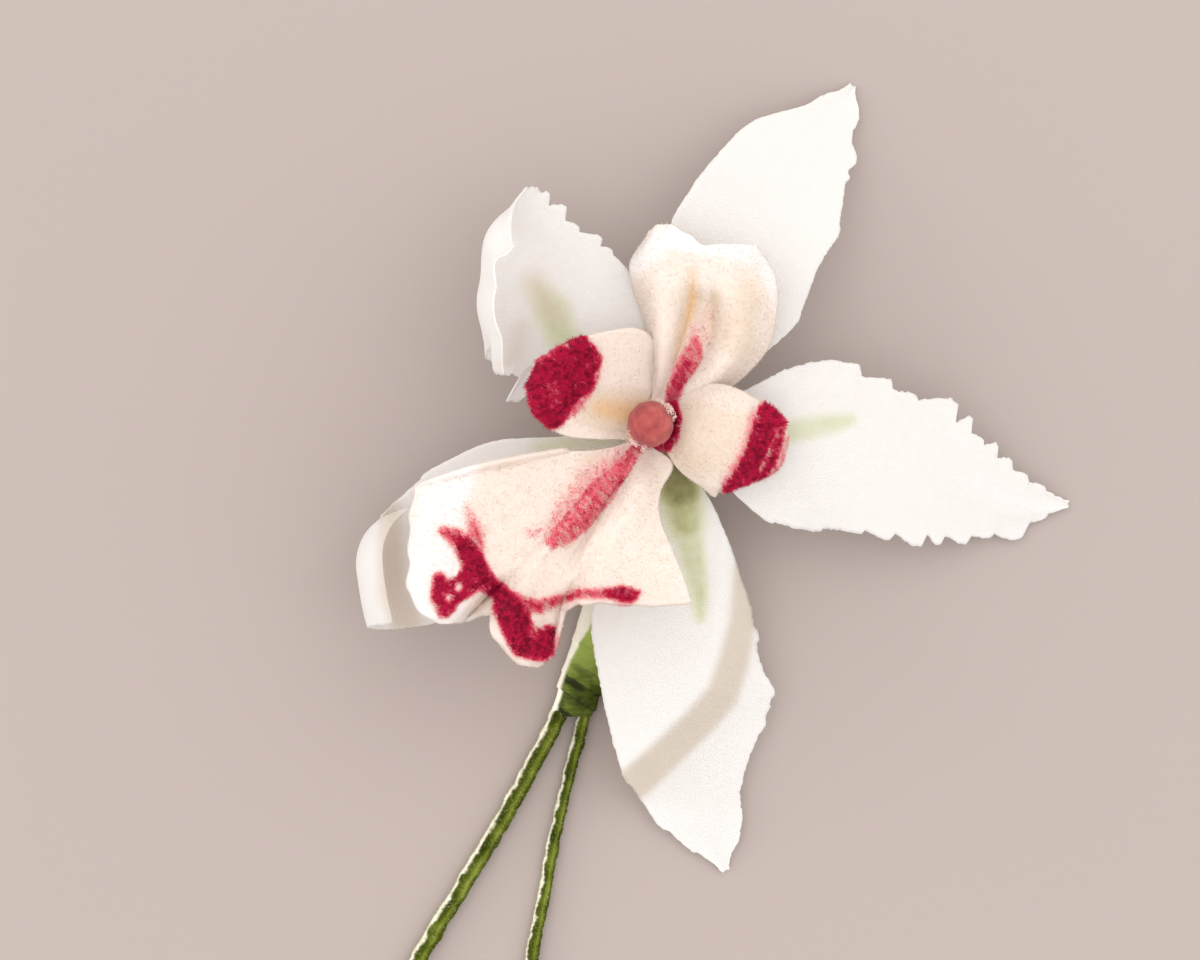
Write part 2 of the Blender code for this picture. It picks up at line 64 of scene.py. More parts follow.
# The bead, and the curls of fluff round its foot, by bearings in degrees
BEAD_RADIUS = 2.3
BEAD_LEVEL = 14.1
CURLS = 110
CURL_BEARINGS = ((5.0, 85.0), (195.0, 265.0))
CURL_REACH = (2.1, 2.7)
CURL_LEVELS = (-0.6, 0.9)
CURL_RADIUS = 0.2
CURL_FIBRE_RADIUS = 0.028

# The stems: their radius over the fuzz, the fuzz (its depth, its fibres in mm and per square mm,
# and how far down the stem has to face for none to grow), the thread, and the tape of the neck
LONG_STEM_RADIUS = 1.0
SHORT_STEM_RADIUS = 0.78
ROUTE_STEP = 0.4
FUZZ_DEPTH = 0.14
FUZZ_DENSITY = 40.0
FUZZ_LENGTH = 0.26
FUZZ_RADIUS = 0.013
UNDERSIDE = -0.5
THREAD_PITCH = 0.5
THREAD_GROOVE = 0.05
SEAM_HEIGHT = 0.06
KNOB_HEIGHT = 0.5
STEM_SWAY = 0.5
# Rim light painted pale on the stems and the tape: the share of each stem's side that it covers, and the
# way towards the low left lamp
RIM_LIGHT_SHARE = 0.42
LOW_LAMP_SIDE = (-0.89, 0.45, 0.0)
TAPE_START = 3.35
TAPE_END = 29.7
TAPE_STEP = 0.1
TAPE_SIDES = 84
TAPE_TURN = 1.55
TAPE_SLANT = 0.53
TAPE_WIDENS = (8.5, 11.5)
TAPE_LOWEST = 0.02
TAPE_BULGE = 0.4

# The photograph's view: a long lens above the bloom, square to the floor, which sees 120 mm across
# at the height of the petals
EYE = (-5.0, -5.6, 612.0)
SEEN_LEVEL = 12.0
SENSOR_WIDTH = 36.0
VIEW_WIDTH = 120.0

# The light, as far soft lamps: bearing (0 from +Y, 90 from -X) and height in degrees, strength,
# spread in degrees, and colour
SUNS = {
    "overhead": (10, 80, 1.1, 80, (1.0, 0.98, 0.96)),
    "low_left": (78, 20, 0.6, 30, (1.0, 0.98, 0.94)),
    "fill": (280, 38, 0.45, 60, (1.0, 0.98, 0.96)),
}
SKY_COLOUR = (1.0, 0.98, 0.968)
SKY_STRENGTH = 1.2
FLOOR_COLOUR = (0.372, 0.317, 0.296)

LONG_STEM = (
    (-0.75, -2.75, 1.66), (-2.6, -9.5, 1.68), (-4.6, -16.5, 1.68), (-6.1, -22.0, 1.68),
    (-8.3, -27.9, 1.6), (-11.3, -33.6, 1.15), (-15.5, -41.2, 1.02), (-22.5, -52.8, 1.02),
    (-29.2, -64.6, 1.02), (-34.4, -74.6, 1.02),
)
SHORT_STEM = (
    (-1.4, -12.2, 1.45), (-3.0, -18.2, 1.45), (-4.5, -23.2, 1.45), (-6.15, -28.0, 1.4),
    (-7.3, -32.6, 0.95), (-9.4, -41.2, 0.8), (-11.6, -52.8, 0.8), (-13.2, -61.0, 0.8),
    (-14.8, -69.4, 0.8),
)
CALYX_PROFILE = ((2.5, 8.0), (3.05, 7.4), (2.95, 5.6), (2.45, 3.4), (2.2, 1.2), (1.9, 0.0))

# Each petal: its midrib from claw to tip, the width each side of it at even steps, how far each
# edge turns up in radians near the claw and near the tip, how far its right half bellies out
# towards the tip, how deep its edges are frayed, and the teeth cut in each edge as (start,
# peak, end, depth) with places as shares of the length. Left is the left side as seen walking from
# claw to tip.
PETALS = {
    "dorsal_sepal": {
        "midrib": (
            (0.75, 1.35, SEPAL_LEVEL), (4.4, 8.0, 9.3), (9.1, 17.1, 8.3), (14.2, 25.6, 4.6),
            (20.7, 34.6, 0.38),
        ),
        "left": (0.65, 3.2, 5.6, 7.3, 7.8, 7.3, 6.1, 2.6, 0.3),
        "right": (0.65, 3.9, 6.8, 8.1, 7.6, 7.3, 5.6, 3.4, 0.4),
        "turn_left": (0.45, 0.45),
        "turn_right": (0.1, 0.1),
        "belly": 0.0,
        "wave": 0.35,
        "fray": (0.03, 0.05),
        "teeth_left": ((0.3, 0.42, 0.5, 0.2), (0.88, 0.93, 0.96, 0.3)),
        "teeth_right": (
            (0.28, 0.36, 0.39, 0.3), (0.56, 0.63, 0.65, 0.3), (0.77, 0.785, 0.792, 0.35),
            (0.8, 0.84, 0.872, 0.75), (0.9, 0.945, 0.985, 0.75),
        ),
    },
    "right_petal": {
        "midrib": (
            (1.6, -0.35, PETAL_LEVEL), (9.5, -1.7, 9.9), (18.1, -2.5, 8.9), (26.3, -4.2, 6.2),
            (34.6, -6.8, 2.6), (42.7, -8.05, 0.38),
        ),
        "left": (0.65, 3.9, 7.0, 7.9, 7.1, 6.2, 4.5, 2.1, 0.3),
        "right": (0.65, 3.6, 7.6, 8.1, 7.5, 6.8, 5.4, 3.5, 0.3),
        "turn_left": (0.3, 0.3),
        "turn_right": (-0.25, -0.25),
        "belly": 0.0,
        "wave": 0.4,
        "fray": (0.09, 0.07),
        "teeth_left": (
            (0.22, 0.41, 0.42, 1.1), (0.43, 0.485, 0.492, 0.8), (0.5, 0.55, 0.56, 0.35),
            (0.565, 0.655, 0.66, 1.7), (0.665, 0.7, 0.706, 1.4), (0.712, 0.745, 0.75, 0.5),
            (0.752, 0.79, 0.795, 1.1), (0.8, 0.84, 0.845, 0.8), (0.85, 0.885, 0.893, 0.4),
            (0.9, 0.93, 0.94, 0.3),
        ),
        "teeth_right": (
            (0.2, 0.26, 0.27, 0.25), (0.27, 0.4, 0.41, 0.4), (0.42, 0.51, 0.52, 0.3),
            (0.52, 0.585, 0.6, 0.7), (0.6, 0.68, 0.686, 1.2), (0.69, 0.725, 0.731, 1.0),
            (0.735, 0.785, 0.791, 0.8), (0.8, 0.835, 0.84, 0.3), (0.84, 0.9, 0.915, 1.2),
            (0.92, 0.95, 0.955, 0.3),
        ),
    },
    "lower_sepal": {
        "midrib": (
            (0.65, -1.45, SEPAL_LEVEL), (2.2, -9.0, 9.5), (2.6, -17.0, 9.0), (3.3, -25.1, 7.4),
            (3.9, -32.3, 4.6), (5.0, -39.0, 2.2), (7.8, -45.4, 0.38),
        ),
        "left": (0.65, 3.5, 5.8, 7.5, 8.0, 8.9, 6.1, 3.8, 0.4),
        "right": (0.65, 3.3, 6.5, 8.7, 8.5, 7.8, 6.5, 3.5, 0.3),
        "turn_left": (-0.35, -0.35),
        "turn_right": (0.25, 0.25),
        "belly": 0.0,
        "wave": 0.3,
        "fray": (0.07, 0.05),
        "teeth_left": (
            (0.43, 0.465, 0.475, 0.35), (0.55, 0.6, 0.615, 0.5), (0.66, 0.69, 0.7, 0.3),
            (0.84, 0.94, 0.98, 1.0),
        ),
        "teeth_right": ((0.7, 0.75, 0.76, 0.2), (0.8, 0.86, 0.87, 0.4), (0.88, 0.93, 0.935, 0.3)),
    },
    "left_sepal": {
        "midrib": (
            (-1.25, -0.95, SEPAL_LEVEL), (-8.5, -5.0, 9.2), (-16.0, -9.5, 8.4), (-22.6, -13.4, 6.4),
            (-27.2, -14.7, 8.0), (-29.3, -14.5, 12.2), (-26.6, -13.9, 16.4),
        ),
        "left": (0.65, 3.6, 7.2, 7.9, 6.5, 5.9, 6.0),
        "right": (0.65, 3.4, 6.8, 7.2, 6.2, 5.6, 7.0),
        "turn_left": (0.25, 0.1),
        "turn_right": (0.3, 1.2),
        "belly": 0.0,
        "wave": 0.3,
        "fray": (0.03, 0.03),
        "teeth_left": ((0.5, 0.62, 0.64, 0.25),),
        "teeth_right": ((0.42, 0.5, 0.52, 0.25), (0.6, 0.66, 0.68, 0.2)),
    },
    "left_petal": {
        "midrib": (
            (-0.75, 1.45, PETAL_LEVEL), (-3.4, 5.7, 9.9), (-6.8, 9.2, 9.4), (-11.0, 11.9, 9.0),
            (-15.3, 13.3, 10.9), (-17.0, 13.6, 15.1), (-15.3, 13.2, 19.8),
        ),
        "left": (0.65, 1.9, 4.2, 7.3, 7.6, 7.2, 6.4, 6.4, 6.4),
        "right": (0.65, 3.4, 6.4, 8.1, 8.5, 10.1, 10.9, 8.6, 4.6),
        "turn_left": (0.4, 1.0),
        "turn_right": (0.3, 0.5),
        "belly": 1.15,
        "wave": 0.3,
        "fray": (0.06, 0.06),
        "teeth_left": (
            (0.2, 0.3, 0.36, 1.3), (0.33, 0.365, 0.42, 2.7), (0.34, 0.405, 0.42, 2.7),
            (0.5, 0.54, 0.62, 0.5), (0.88, 0.93, 1.2, 2.6),
        ),
        "teeth_right": (
            (0.395, 0.405, 0.435, 0.3), (0.436, 0.442, 0.5, 0.75), (0.5, 0.507, 0.535, 0.45),
            (0.54, 0.547, 0.592, 1.2), (0.595, 0.603, 0.65, 1.1), (0.6, 0.645, 0.72, 0.6),
        ),
    },
}

# Where the lower sepal folds down to its tip: a line seen from above, the half width of the slope,
# the level of the cloth before it, and how much of its height the cloth beyond it loses
FOLD_LINE = (
    (9.9, -8.0), (9.5, -14.0), (9.1, -19.6), (8.4, -23.6), (7.2, -27.1), (5.2, -29.4), (3.0, -31.6),
    (0.6, -34.1), (-1.8, -36.0), (-6.0, -39.0),
)
FOLD_HALF_WIDTH = 1.85
FOLD_LEVEL = 9.0
FOLD_LOSS = 0.45

# The three plain lobes of the lip
UPPER_LOBE = {
    "midrib": (
        (0.9, 1.5, HUB_LEVEL), (2.35, 4.0, 11.7), (3.85, 7.2, 12.4), (4.75, 10.6, 13.2),
        (5.15, 14.2, 14.2), (5.2, 17.6, 15.2),
    ),
    "left": (1.0, 2.1, 4.0, 5.4, 6.7, 7.3, 5.6),
    "right": (1.2, 3.0, 5.6, 7.3, 7.5, 7.0, 4.9),
}
LEFT_LOBE = {
    "midrib": (
        (-1.3, 0.5, HUB_LEVEL), (-3.4, 1.7, 11.6), (-6.0, 3.2, 13.2), (-8.6, 4.4, 15.6),
        (-10.2, 4.9, 18.6), (-11.4, 5.2, 20.8),
    ),
    "left": (2.4, 3.7, 4.8, 5.1, 4.6, 3.6, 1.8),
    "right": (4.0, 7.4, 8.0, 6.2, 4.3, 2.7, 1.2),
    "turn": (0.0, 0.35, 0.35, 0.2, 0.0, -0.12, -0.15),
}
RIGHT_LOBE = {
    "midrib": (
        (1.3, -0.35, HUB_LEVEL), (2.9, -0.6, 13.2), (4.8, -1.0, 16.2), (7.8, -1.9, 17.8),
        (10.8, -2.9, 16.6), (13.1, -3.7, 13.6),
    ),
    "left": (1.6, 4.6, 5.8, 5.8, 5.5, 5.2, 4.5),
    "right": (1.2, 4.1, 5.9, 6.7, 6.2, 4.7, 1.9),
    "turn": (0.0, -0.5, -0.9, -0.95, -0.95, -0.95, -0.95),
}
# The upper lobe's cheeks: their height, how wide the channel between them is on each side of the
# midrib, and how far their end rolls over
CHEEK_HEIGHT = 2.5
CHANNEL_LEFT = (0.5, 0.9, 1.1, 1.1, 0.9, 0.6, 0.4)
CHANNEL_RIGHT = (0.5, 0.9, 1.6, 1.9, 1.5, 0.9, 0.5)
CHEEK_REACH = (
    (-1.0, -0.3), (-0.7, 0.0), (-0.4, 0.1), (0.0, -0.1), (0.3, 1.0), (0.6, 1.8), (0.8, 1.6),
    (1.0, 0.6),
)

# The front lobe, a fan from a pole beside the bead, by bearings in degrees and reaches
FAN_POLE = (-0.5, -1.0)
FAN_LEFT_BEARING = (206.0, 198.0, 191.5, 190.5, 190.5, 191.0, 192.5)
FAN_RIGHT_BEARING = (
    300.0, 312.0, 313.0, 290.0, 281.5, 279.5, 280.0, 281.7, 283.0, 284.0, 284.8, 285.0, 285.2,
)
FAN_ROOT = 1.4
FRONT_EDGE = (
    (190.0, 19.5), (193.5, 23.4), (201.0, 24.8), (208.0, 26.3), (213.0, 27.9), (218.0, 28.3),
    (222.0, 27.8), (225.5, 26.2), (228.0, 24.0), (229.5, 23.4), (232.0, 25.0), (236.0, 25.9),
    (239.5, 25.5), (241.5, 24.0), (244.5, 19.3), (248.5, 18.0), (256.0, 17.2), (266.0, 17.0),
    (276.0, 17.1), (285.5, 17.3),
)
RUFFLE = (
    (190.0, -0.6), (199.0, 0.6), (206.0, 0.2), (213.0, 1.6), (220.0, 1.4), (223.0, 0.2), (226.0, -3.4),
    (229.0, -1.2), (232.0, 2.0), (236.0, 0.4), (242.0, -4.0), (250.0, -0.4), (262.0, -1.4),
    (274.0, -2.2), (283.0, -1.6),
)
RUFFLE_START = 0.62
FINGER_BEARINGS = (230.0, 237.0, 241.5, 245.0)
FINGER_LEAN = 5.4
FAN_RISE = 10.5
CREASE_BEARING = (258.0, 251.0, 245.0, 240.0, 233.0, 226.0)
CREASE_END = 0.72
CREASE_FADE = (0.4, 0.68)
CREASE_DEPTH = 0.9
CREASE_WIDTH = 7.0
RIDGE_HEIGHT = 1.5
RIDGE_WIDTH = 15.0
RIDGE_BEHIND_CREASE = 17.0

# The dye of the lip, as brush strokes seen from above at the level of the petals: how strong it
# is, how soft its edge, and the stroke's points as (x, y, radius). A negative strength bleaches.
STROKES = {
    "front_lobe": (
        (0.2, 1.2, ((-2.4, -2.7, 0.7), (-5.6, -5.8, 1.9), (-7.9, -8.6, 1.7), (-10.0, -10.9, 0.9))),
        (
            0.34, 0.4,
            (
                (-1.5, -2.7, 0.7), (-2.8, -4.6, 0.9), (-4.9, -6.9, 1.5), (-6.9, -9.4, 1.45),
                (-8.6, -11.1, 1.1), (-9.9, -11.8, 0.6),
            ),
        ),
        (0.2, 0.7, ((-11.3, -10.9, 0.5), (-12.2, -11.1, 0.3))),
        (0.2, 0.6, ((-18.4, -8.4, 0.3), (-17.9, -9.8, 0.7), (-17.4, -11.0, 0.9))),
        (0.38, 0.5, ((-17.9, -9.9, 0.3), (-17.7, -11.2, 0.8), (-17.6, -12.4, 0.9))),
        (0.45, 0.45, ((-20.9, -10.6, 0.35), (-19.6, -11.3, 0.8), (-18.4, -12.4, 1.0))),
        (
            0.86, 0.4,
            (
                (-19.6, -11.4, 0.3), (-18.6, -12.3, 1.0), (-17.9, -13.6, 1.15), (-17.2, -15.0, 1.1),
                (-16.2, -16.0, 0.9), (-15.1, -16.9, 0.9),
            ),
        ),
        (
            0.72, 0.4,
            (
                (-17.8, -15.2, 1.3), (-18.9, -16.6, 1.5), (-20.3, -17.2, 1.4), (-20.6, -18.4, 0.9),
                (-19.9, -18.9, 0.4),
            ),
        ),
        (0.72, 0.4, ((-21.2, -15.6, 0.6), (-21.2, -17.4, 0.8))),
        (-0.7, 0.25, ((-19.2, -16.3, 0.35), (-19.3, -16.5, 0.35))),
        (-0.7, 0.25, ((-20.2, -17.4, 0.3), (-20.3, -17.5, 0.3))),
        (-0.55, 0.25, ((-19.6, -14.9, 0.25), (-19.8, -15.1, 0.25))),
        (
            0.92, 0.4,
            (
                (-14.9, -17.0, 0.9), (-14.2, -18.4, 1.3), (-13.5, -20.0, 1.6), (-12.6, -21.7, 1.7),
                (-11.0, -22.2, 1.4), (-10.2, -21.0, 0.9),
            ),
        ),
        (-0.55, 0.5, ((-11.7, -19.6, 0.45), (-11.9, -20.9, 0.35))),
        (
            0.5, 0.5,
            (
                (-13.4, -18.0, 0.9), (-11.4, -18.3, 0.6), (-9.4, -17.6, 0.45), (-6.6, -17.1, 0.45),
                (-3.8, -17.0, 0.45),
            ),
        ),
        (
            0.7, 0.35,
            ((-4.6, -17.0, 0.4), (-2.9, -17.1, 0.85), (-2.1, -17.2, 0.75), (-1.3, -16.9, 0.25)),
        ),
        (
            -1.0, 0.35,
            ((-19.6, -19.4, 0.4), (-18.6, -18.6, 0.9), (-17.2, -17.9, 1.0), (-16.2, -17.8, 0.6)),
        ),
    ),
    "left_lobe": (
        (
            0.86, 0.35,
            (
                (-7.4, 8.2, 1.1), (-6.5, 6.4, 1.5), (-8.6, 6.0, 1.8), (-7.6, 4.6, 2.0),
                (-9.9, 5.0, 1.9), (-11.6, 5.2, 1.1), (-10.9, 3.6, 1.7), (-8.4, 3.0, 1.3),
                (-10.2, 1.6, 2.1), (-10.5, 0.8, 1.3), (-10.0, 0.2, 0.7),
            ),
        ),
        (0.34, 0.5, ((-5.7, 7.4, 0.4), (-5.6, 5.0, 0.5), (-6.8, 2.8, 0.6), (-7.8, 1.2, 0.4))),
        (-0.32, 0.5, ((-10.0, 3.9, 0.5), (-9.6, 2.4, 0.6))),
    ),
    "right_lobe": (
        (
            0.86, 0.35,
            (
                (11.9, 1.2, 1.2), (11.7, -0.2, 1.5), (11.3, -1.8, 1.6), (10.9, -3.2, 1.6),
                (9.7, -5.1, 1.4), (8.3, -6.5, 1.1),
            ),
        ),
        (0.26, 0.7, ((10.2, 0.8, 0.5), (9.4, -2.6, 0.6), (7.8, -5.6, 0.6))),
        # Painted shadow: crimson beside the bead's lower right, where its shadow falls
        (0.8, 0.35, ((2.5, 2.2, 0.35), (2.85, 0.4, 0.5), (2.6, -1.2, 0.5), (1.9, -2.3, 0.4))),
        # Painted highlight: thin paler lines along a fold in the patch
        (-0.45, 0.15, ((12.7, -0.4, 0.2), (11.9, -2.2, 0.2), (10.9, -4.3, 0.2))),
        (0.55, 0.4, ((13.4, 0.2, 0.3), (14.4, -0.3, 0.3))),
        (0.22, 0.5, ((13.8, -1.6, 0.6), (13.0, -3.8, 0.6), (11.8, -5.4, 0.5))),
        (0.5, 0.25, ((13.8, -2.8, 0.15), (13.0, -4.2, 0.2), (12.2, -5.0, 0.15))),
    ),
    "upper_lobe": (
        (0.12, 1.0, ((5.6, 10.8, 0.6), (5.3, 8.8, 0.8))),
        (0.2, 1.0, ((4.5, 9.6, 0.5), (4.6, 8.2, 0.9))),
        (0.36, 0.5, ((4.5, 8.4, 0.5), (4.4, 7.2, 1.0), (3.6, 5.8, 1.1), (2.8, 4.2, 0.9))),
        (0.52, 0.4, ((3.7, 6.0, 0.6), (2.8, 4.2, 0.9), (2.3, 2.4, 0.8))),
    ),
    # Painted shadow: crimson round the bead's lower right, where its shadow falls
    "lip_hub": ((0.62, 0.8, ((-1.2, -2.6, 0.6), (0.6, -2.4, 0.7), (2.4, -1.2, 0.7), (2.6, 1.2, 0.7))),),
}
# Where the velvet is warmer, or bleached if negative, in the same words: partly the cloth's own warmer
# tone, and partly shade painted in ochre and tan
WARMTH_AND_SHADE = {
    "front_lobe": (
        (0.8, 3.0, ((-2.0, -2.0, 1.0), (-6.0, -4.0, 1.0))),
        (0.42, 3.0, ((-14.6, -8.0, 1.0), (-14.0, -14.0, 1.0))),
        (-0.3, 1.6, ((-19.0, -4.6, 1.6), (-21.0, -8.0, 2.4), (-21.6, -14.0, 2.8), (-20.8, -19.4, 2.6))),
    ),
    # Partly painted shade: ochre beside the bead
    "left_lobe": ((1.0, 3.0, ((-1.5, 1.0, 2.2), (-5.0, 1.6, 1.8))),),
    # Painted shade: tan over the whole right lobe
    "right_lobe": ((0.5, 2.0, ((3.0, -1.0, 4.0), (9.5, -2.4, 4.0))),),
    "upper_lobe": (
        # Painted shade: ochre down the channel between the cheeks
        (1.05, 1.5, ((4.2, 15.2, 0.3), (4.2, 12.6, 0.9), (3.7, 10.0, 0.9), (2.6, 6.5, 0.5))),
        (0.4, 2.6, ((-0.4, 14.0, 1.0), (0.8, 9.5, 1.0))),
        (0.75, 1.5, ((6.6, 13.0, 0.5), (6.1, 10.6, 1.3), (5.6, 8.4, 1.2))),
        # Painted shade: tan over the right cheek
        (0.5, 2.2, ((9.6, 13.0, 2.0), (8.8, 8.0, 2.2))),
        (
            -0.3, 1.2,
            (
                (-1.4, 15.6, 0.8), (1.6, 18.8, 1.2), (6.0, 17.6, 0.8), (11.4, 17.0, 1.2),
                (13.0, 12.0, 0.6),
            ),
        ),
    ),
    # Partly painted shade: ochre round the bead
    "lip_hub": ((1.0, 1.0, ((0.0, 0.0, 3.0), (0.1, 0.0, 3.0))),),
}
PLAIN_WARMTH = 0.25

# Where the silk is green, and where shade is painted a pale brown along its folds and inside its curled
# rims, in the same words
GREEN = {
    "dorsal_sepal": ((0.3, 0.8, ((0.8, 1.4, 1.2), (4.4, 8.0, 1.2), (6.0, 11.0, 0.6))),),
    "right_petal": (
        (0.5, 1.0, ((2.0, -0.6, 1.2), (9.0, -1.4, 1.4))),
        (0.24, 0.6, ((8.0, -1.6, 1.2), (13.0, -1.0, 1.1), (18.0, 0.0, 1.0), (20.0, 0.4, 0.6))),
    ),
    "lower_sepal": (
        # The darkest olive here, by the hub, is partly the green of the cloth and partly shade painted
        # where the front lobe's curl hangs over it
        (0.85, 1.0, ((2.0, -3.4, 1.4), (3.0, -6.8, 1.9))),
        (0.55, 1.3, ((3.0, -6.8, 1.9), (3.5, -10.0, 1.6))),
        (0.34, 0.7, ((3.4, -9.0, 1.5), (4.3, -13.6, 1.2), (4.9, -17.2, 0.9), (5.0, -19.4, 0.4))),
    ),
    "left_sepal": ((0.2, 0.9, ((-11.0, -2.4, 0.8), (-8.0, -2.1, 0.9), (-3.0, -1.2, 0.9))),),
    "left_petal": (
        (0.32, 1.2, ((-7.0, 6.4, 1.2), (-8.9, 9.0, 1.5), (-9.8, 11.2, 1.6), (-11.0, 13.0, 0.8))),
    ),
}
FOLD_SHADE_STROKES = {
    "lower_sepal": (
        (0.75, 0.5, ((9.6, -14.4, 1.2), (9.3, -19.6, 1.3), (8.4, -23.6, 1.5), (7.2, -27.1, 1.6))),
        (0.75, 0.5, ((7.2, -27.1, 1.6), (5.2, -29.4, 1.6), (3.0, -31.6, 1.6), (-1.8, -36.0, 1.7))),
    ),
    "left_sepal": (
        (0.6, 0.8, ((-25.8, -8.6, 0.9), (-25.9, -13.0, 1.2), (-25.6, -17.0, 1.4), (-24.0, -20.6, 1.4))),
    ),
    "left_petal": (
        (0.7, 1.6, ((-9.6, 11.0, 0.9), (-11.6, 14.0, 1.0))),
        (0.5, 1.4, ((-14.0, 6.0, 0.7), (-12.8, 9.6, 0.7))),
    ),
}

# The pile's fibres, in mm and per square mm. It is longer and denser where the cloth is dyed, thin
# on the underside, and sheds a few long hairs.
PILE_LENGTH = 0.26
DYED_LENGTH = 0.16
PILE_RADIUS = 0.036
PILE_DENSITY = 100.0
PILE_LEAN = 1.3
CREAM_SHARE = 0.12
UNDERSIDE_SHARE = 0.3
HAIR_DENSITY = 2.6
HAIR_LENGTH = 0.75
HAIR_RADIUS = 0.02
HAIR_LEAN = 1.9
# Each shade of the pile, with the share of the light that it lets through
PILE_SHADES = (
    ("pile_cream", (0.94, 0.86, 0.78), 0.45),
    ("pile_peach", (0.93, 0.78, 0.58), 0.45),
    ("pile_blush", (0.94, 0.56, 0.55), 0.4),
    ("pile_pink", (0.94, 0.2, 0.29), 0.35),
    ("pile_rose", (0.74, 0.012, 0.085), 0.2),
    ("pile_crimson", (0.3, 0.001, 0.03), 0.0),
)
# How strongly the cloth is dyed where each deeper shade begins, and how far each pattern of
# dashes, grains and clumps shifts that
DYE_STEPS = (0.08, 0.2, 0.46, 1.0)
DASH_CONTRAST = 0.95
GRAIN_CONTRAST = 0.75
CLUMP_CONTRAST = 0.5
DASH_LEAN = (0.45, -0.8, 0.0)
# The cells of the stripe's dashes, stretched along them, and the sizes of each pattern's cells
DASH_CELL = ((0.27, -0.47, 0.0), (1.22, 0.7, 0.0), (0.0, 0.0, 0.8))
DASH_SCALE = 2100.0
GRAIN_SCALE = 2500.0
CLUMP_SCALE = 850.0
TUFT_SCALE = 1700.0

# The shades of each finish, as (place on its ramp, colour)
SILK_SHADES = (
    (0.0, (0.955, 0.94, 0.925)),
    (0.25, (0.82, 0.84, 0.66)),
    # The darkest olive stops also carry the shade painted on the lower sepal by the hub
    (0.55, (0.6, 0.6, 0.32)),
    (1.0, (0.3, 0.29, 0.1)),
)
# The colour of the shade painted along the silk's folds and inside its curled rims
FOLD_SHADE_COLOUR = (0.8, 0.71, 0.6)
# The velvet's cream, warmer and darker further along; the darker stops also stand as painted shade
CREAM_SHADES = (
    (0.0, (0.94, 0.91, 0.9)),
    (0.25, (0.89, 0.8, 0.735)),
    (0.5, (0.82, 0.715, 0.61)),
    (1.0, (0.84, 0.58, 0.32)),
)
DYE_SHADES = (
    (0.08, (0.9, 0.74, 0.68)),
    (0.36, (0.9, 0.24, 0.29)),
    (0.62, (0.5, 0.012, 0.075)),
    (0.95, (0.22, 0.001, 0.028)),
)
CORAL_SHADES = (
    (0.3, (0.26, 0.034, 0.036)),
    (0.5, (0.35, 0.056, 0.052)),
    (0.7, (0.43, 0.09, 0.078)),
)
THREAD_SHADES = (
    (0.25, (0.018, 0.026, 0.0005)),
    (0.5, (0.042, 0.055, 0.001)),
    (0.8, (0.1, 0.125, 0.012)),
    (1.0, (0.17, 0.2, 0.03)),
)
TAPE_SHADES = (
    (0.0, (0.012, 0.018, 0.0005)),
    (0.25, (0.055, 0.075, 0.005)),
    (0.5, (0.15, 0.2, 0.03)),
    (0.8, (0.32, 0.4, 0.1)),
)


def through(values, share):
    """A smooth curve through evenly spaced values, read at shares of its way from 0 to 1."""
    values = np.asarray(values, float)
    last = len(values) - 1
    place = np.clip(np.asarray(share, float), 0.0, 1.0) * last
    k = np.minimum(place.astype(int), last - 1)
    t = (place - k)[..., None] if values.ndim > 1 else place - k
    before, start, end, after = (values[np.clip(k + i, 0, last)] for i in (-1, 0, 1, 2))
    return 0.5 * (
        2 * start
        + (end - before) * t
        + (2 * before - 5 * start + 4 * end - after) * t**2
        + (3 * start - before - 3 * end + after) * t**3
    )


def eased(start, end, value):
    """0 before start, 1 after end, and smooth between them."""
    t = np.clip((np.asarray(value, float) - start) / (end - start), 0.0, 1.0)
    return t * t * (3 - 2 * t)


def between(pairs, place):
    """A value read off a list of (place, value) pairs, eased from each pair to the next."""
    places, values = np.array(pairs, float).T
    k = np.clip(np.searchsorted(places, place) - 1, 0, len(places) - 2)
    t = eased(0.0, 1.0, (place - places[k]) / (places[k + 1] - places[k]))
    return values[k] + (values[k + 1] - values[k]) * t


class Midrib:
    """A smooth line through points, with its direction, its left side and its upper face along it."""

    SAMPLES = 400

    def __init__(self, points):
        self.line = through(points, np.linspace(0, 1, self.SAMPLES))
        steps = np.linalg.norm(np.diff(self.line, axis=0), axis=1)
        self.run = np.concatenate([[0], np.cumsum(steps)])
        self.length = self.run[-1]
        forward = np.gradient(self.line, axis=0)
        self.forward = forward / np.linalg.norm(forward, axis=1)[:, None]
        left = np.cross((0, 0, 1), self.forward[0])
        lefts = []
        for direction in self.forward:
            left = left - direction * (left @ direction)
            left = left / np.linalg.norm(left)
            lefts.append(left)
        self.left = np.array(lefts)
        self.up = np.cross(self.forward, self.left)

    def at(self, share):
        """(point, forward, left, up) at shares of the length, as arrays."""
        place = np.asarray(share, float) * self.length
        return tuple(
            np.stack([np.interp(place, self.run, part[:, axis]) for axis in range(3)], axis=-1)
            for part in (self.line, self.forward, self.left, self.up)
        )


def across(width, side, turn):
    """How far out and how far up points lie, a share `side` of the way to an edge that turns up."""
    turn = np.where(np.abs(turn) < 1e-3, 1e-3, turn)
    bend = turn / width
    reach = width * np.abs(side)
    return np.sign(side) * np.sin(bend * reach) / bend, (1 - np.cos(bend * reach)) / bend


def toothed(share, teeth):
    """How far the teeth cut in an edge stand out of it."""
    out = np.zeros_like(share)
    for start, peak, end, depth in teeth:
        rise = np.minimum((share - start) / (peak - start), (end - share) / (end - peak))
        out = np.maximum(out, depth * np.clip(1.35 * rise, 0, 1))
    return out


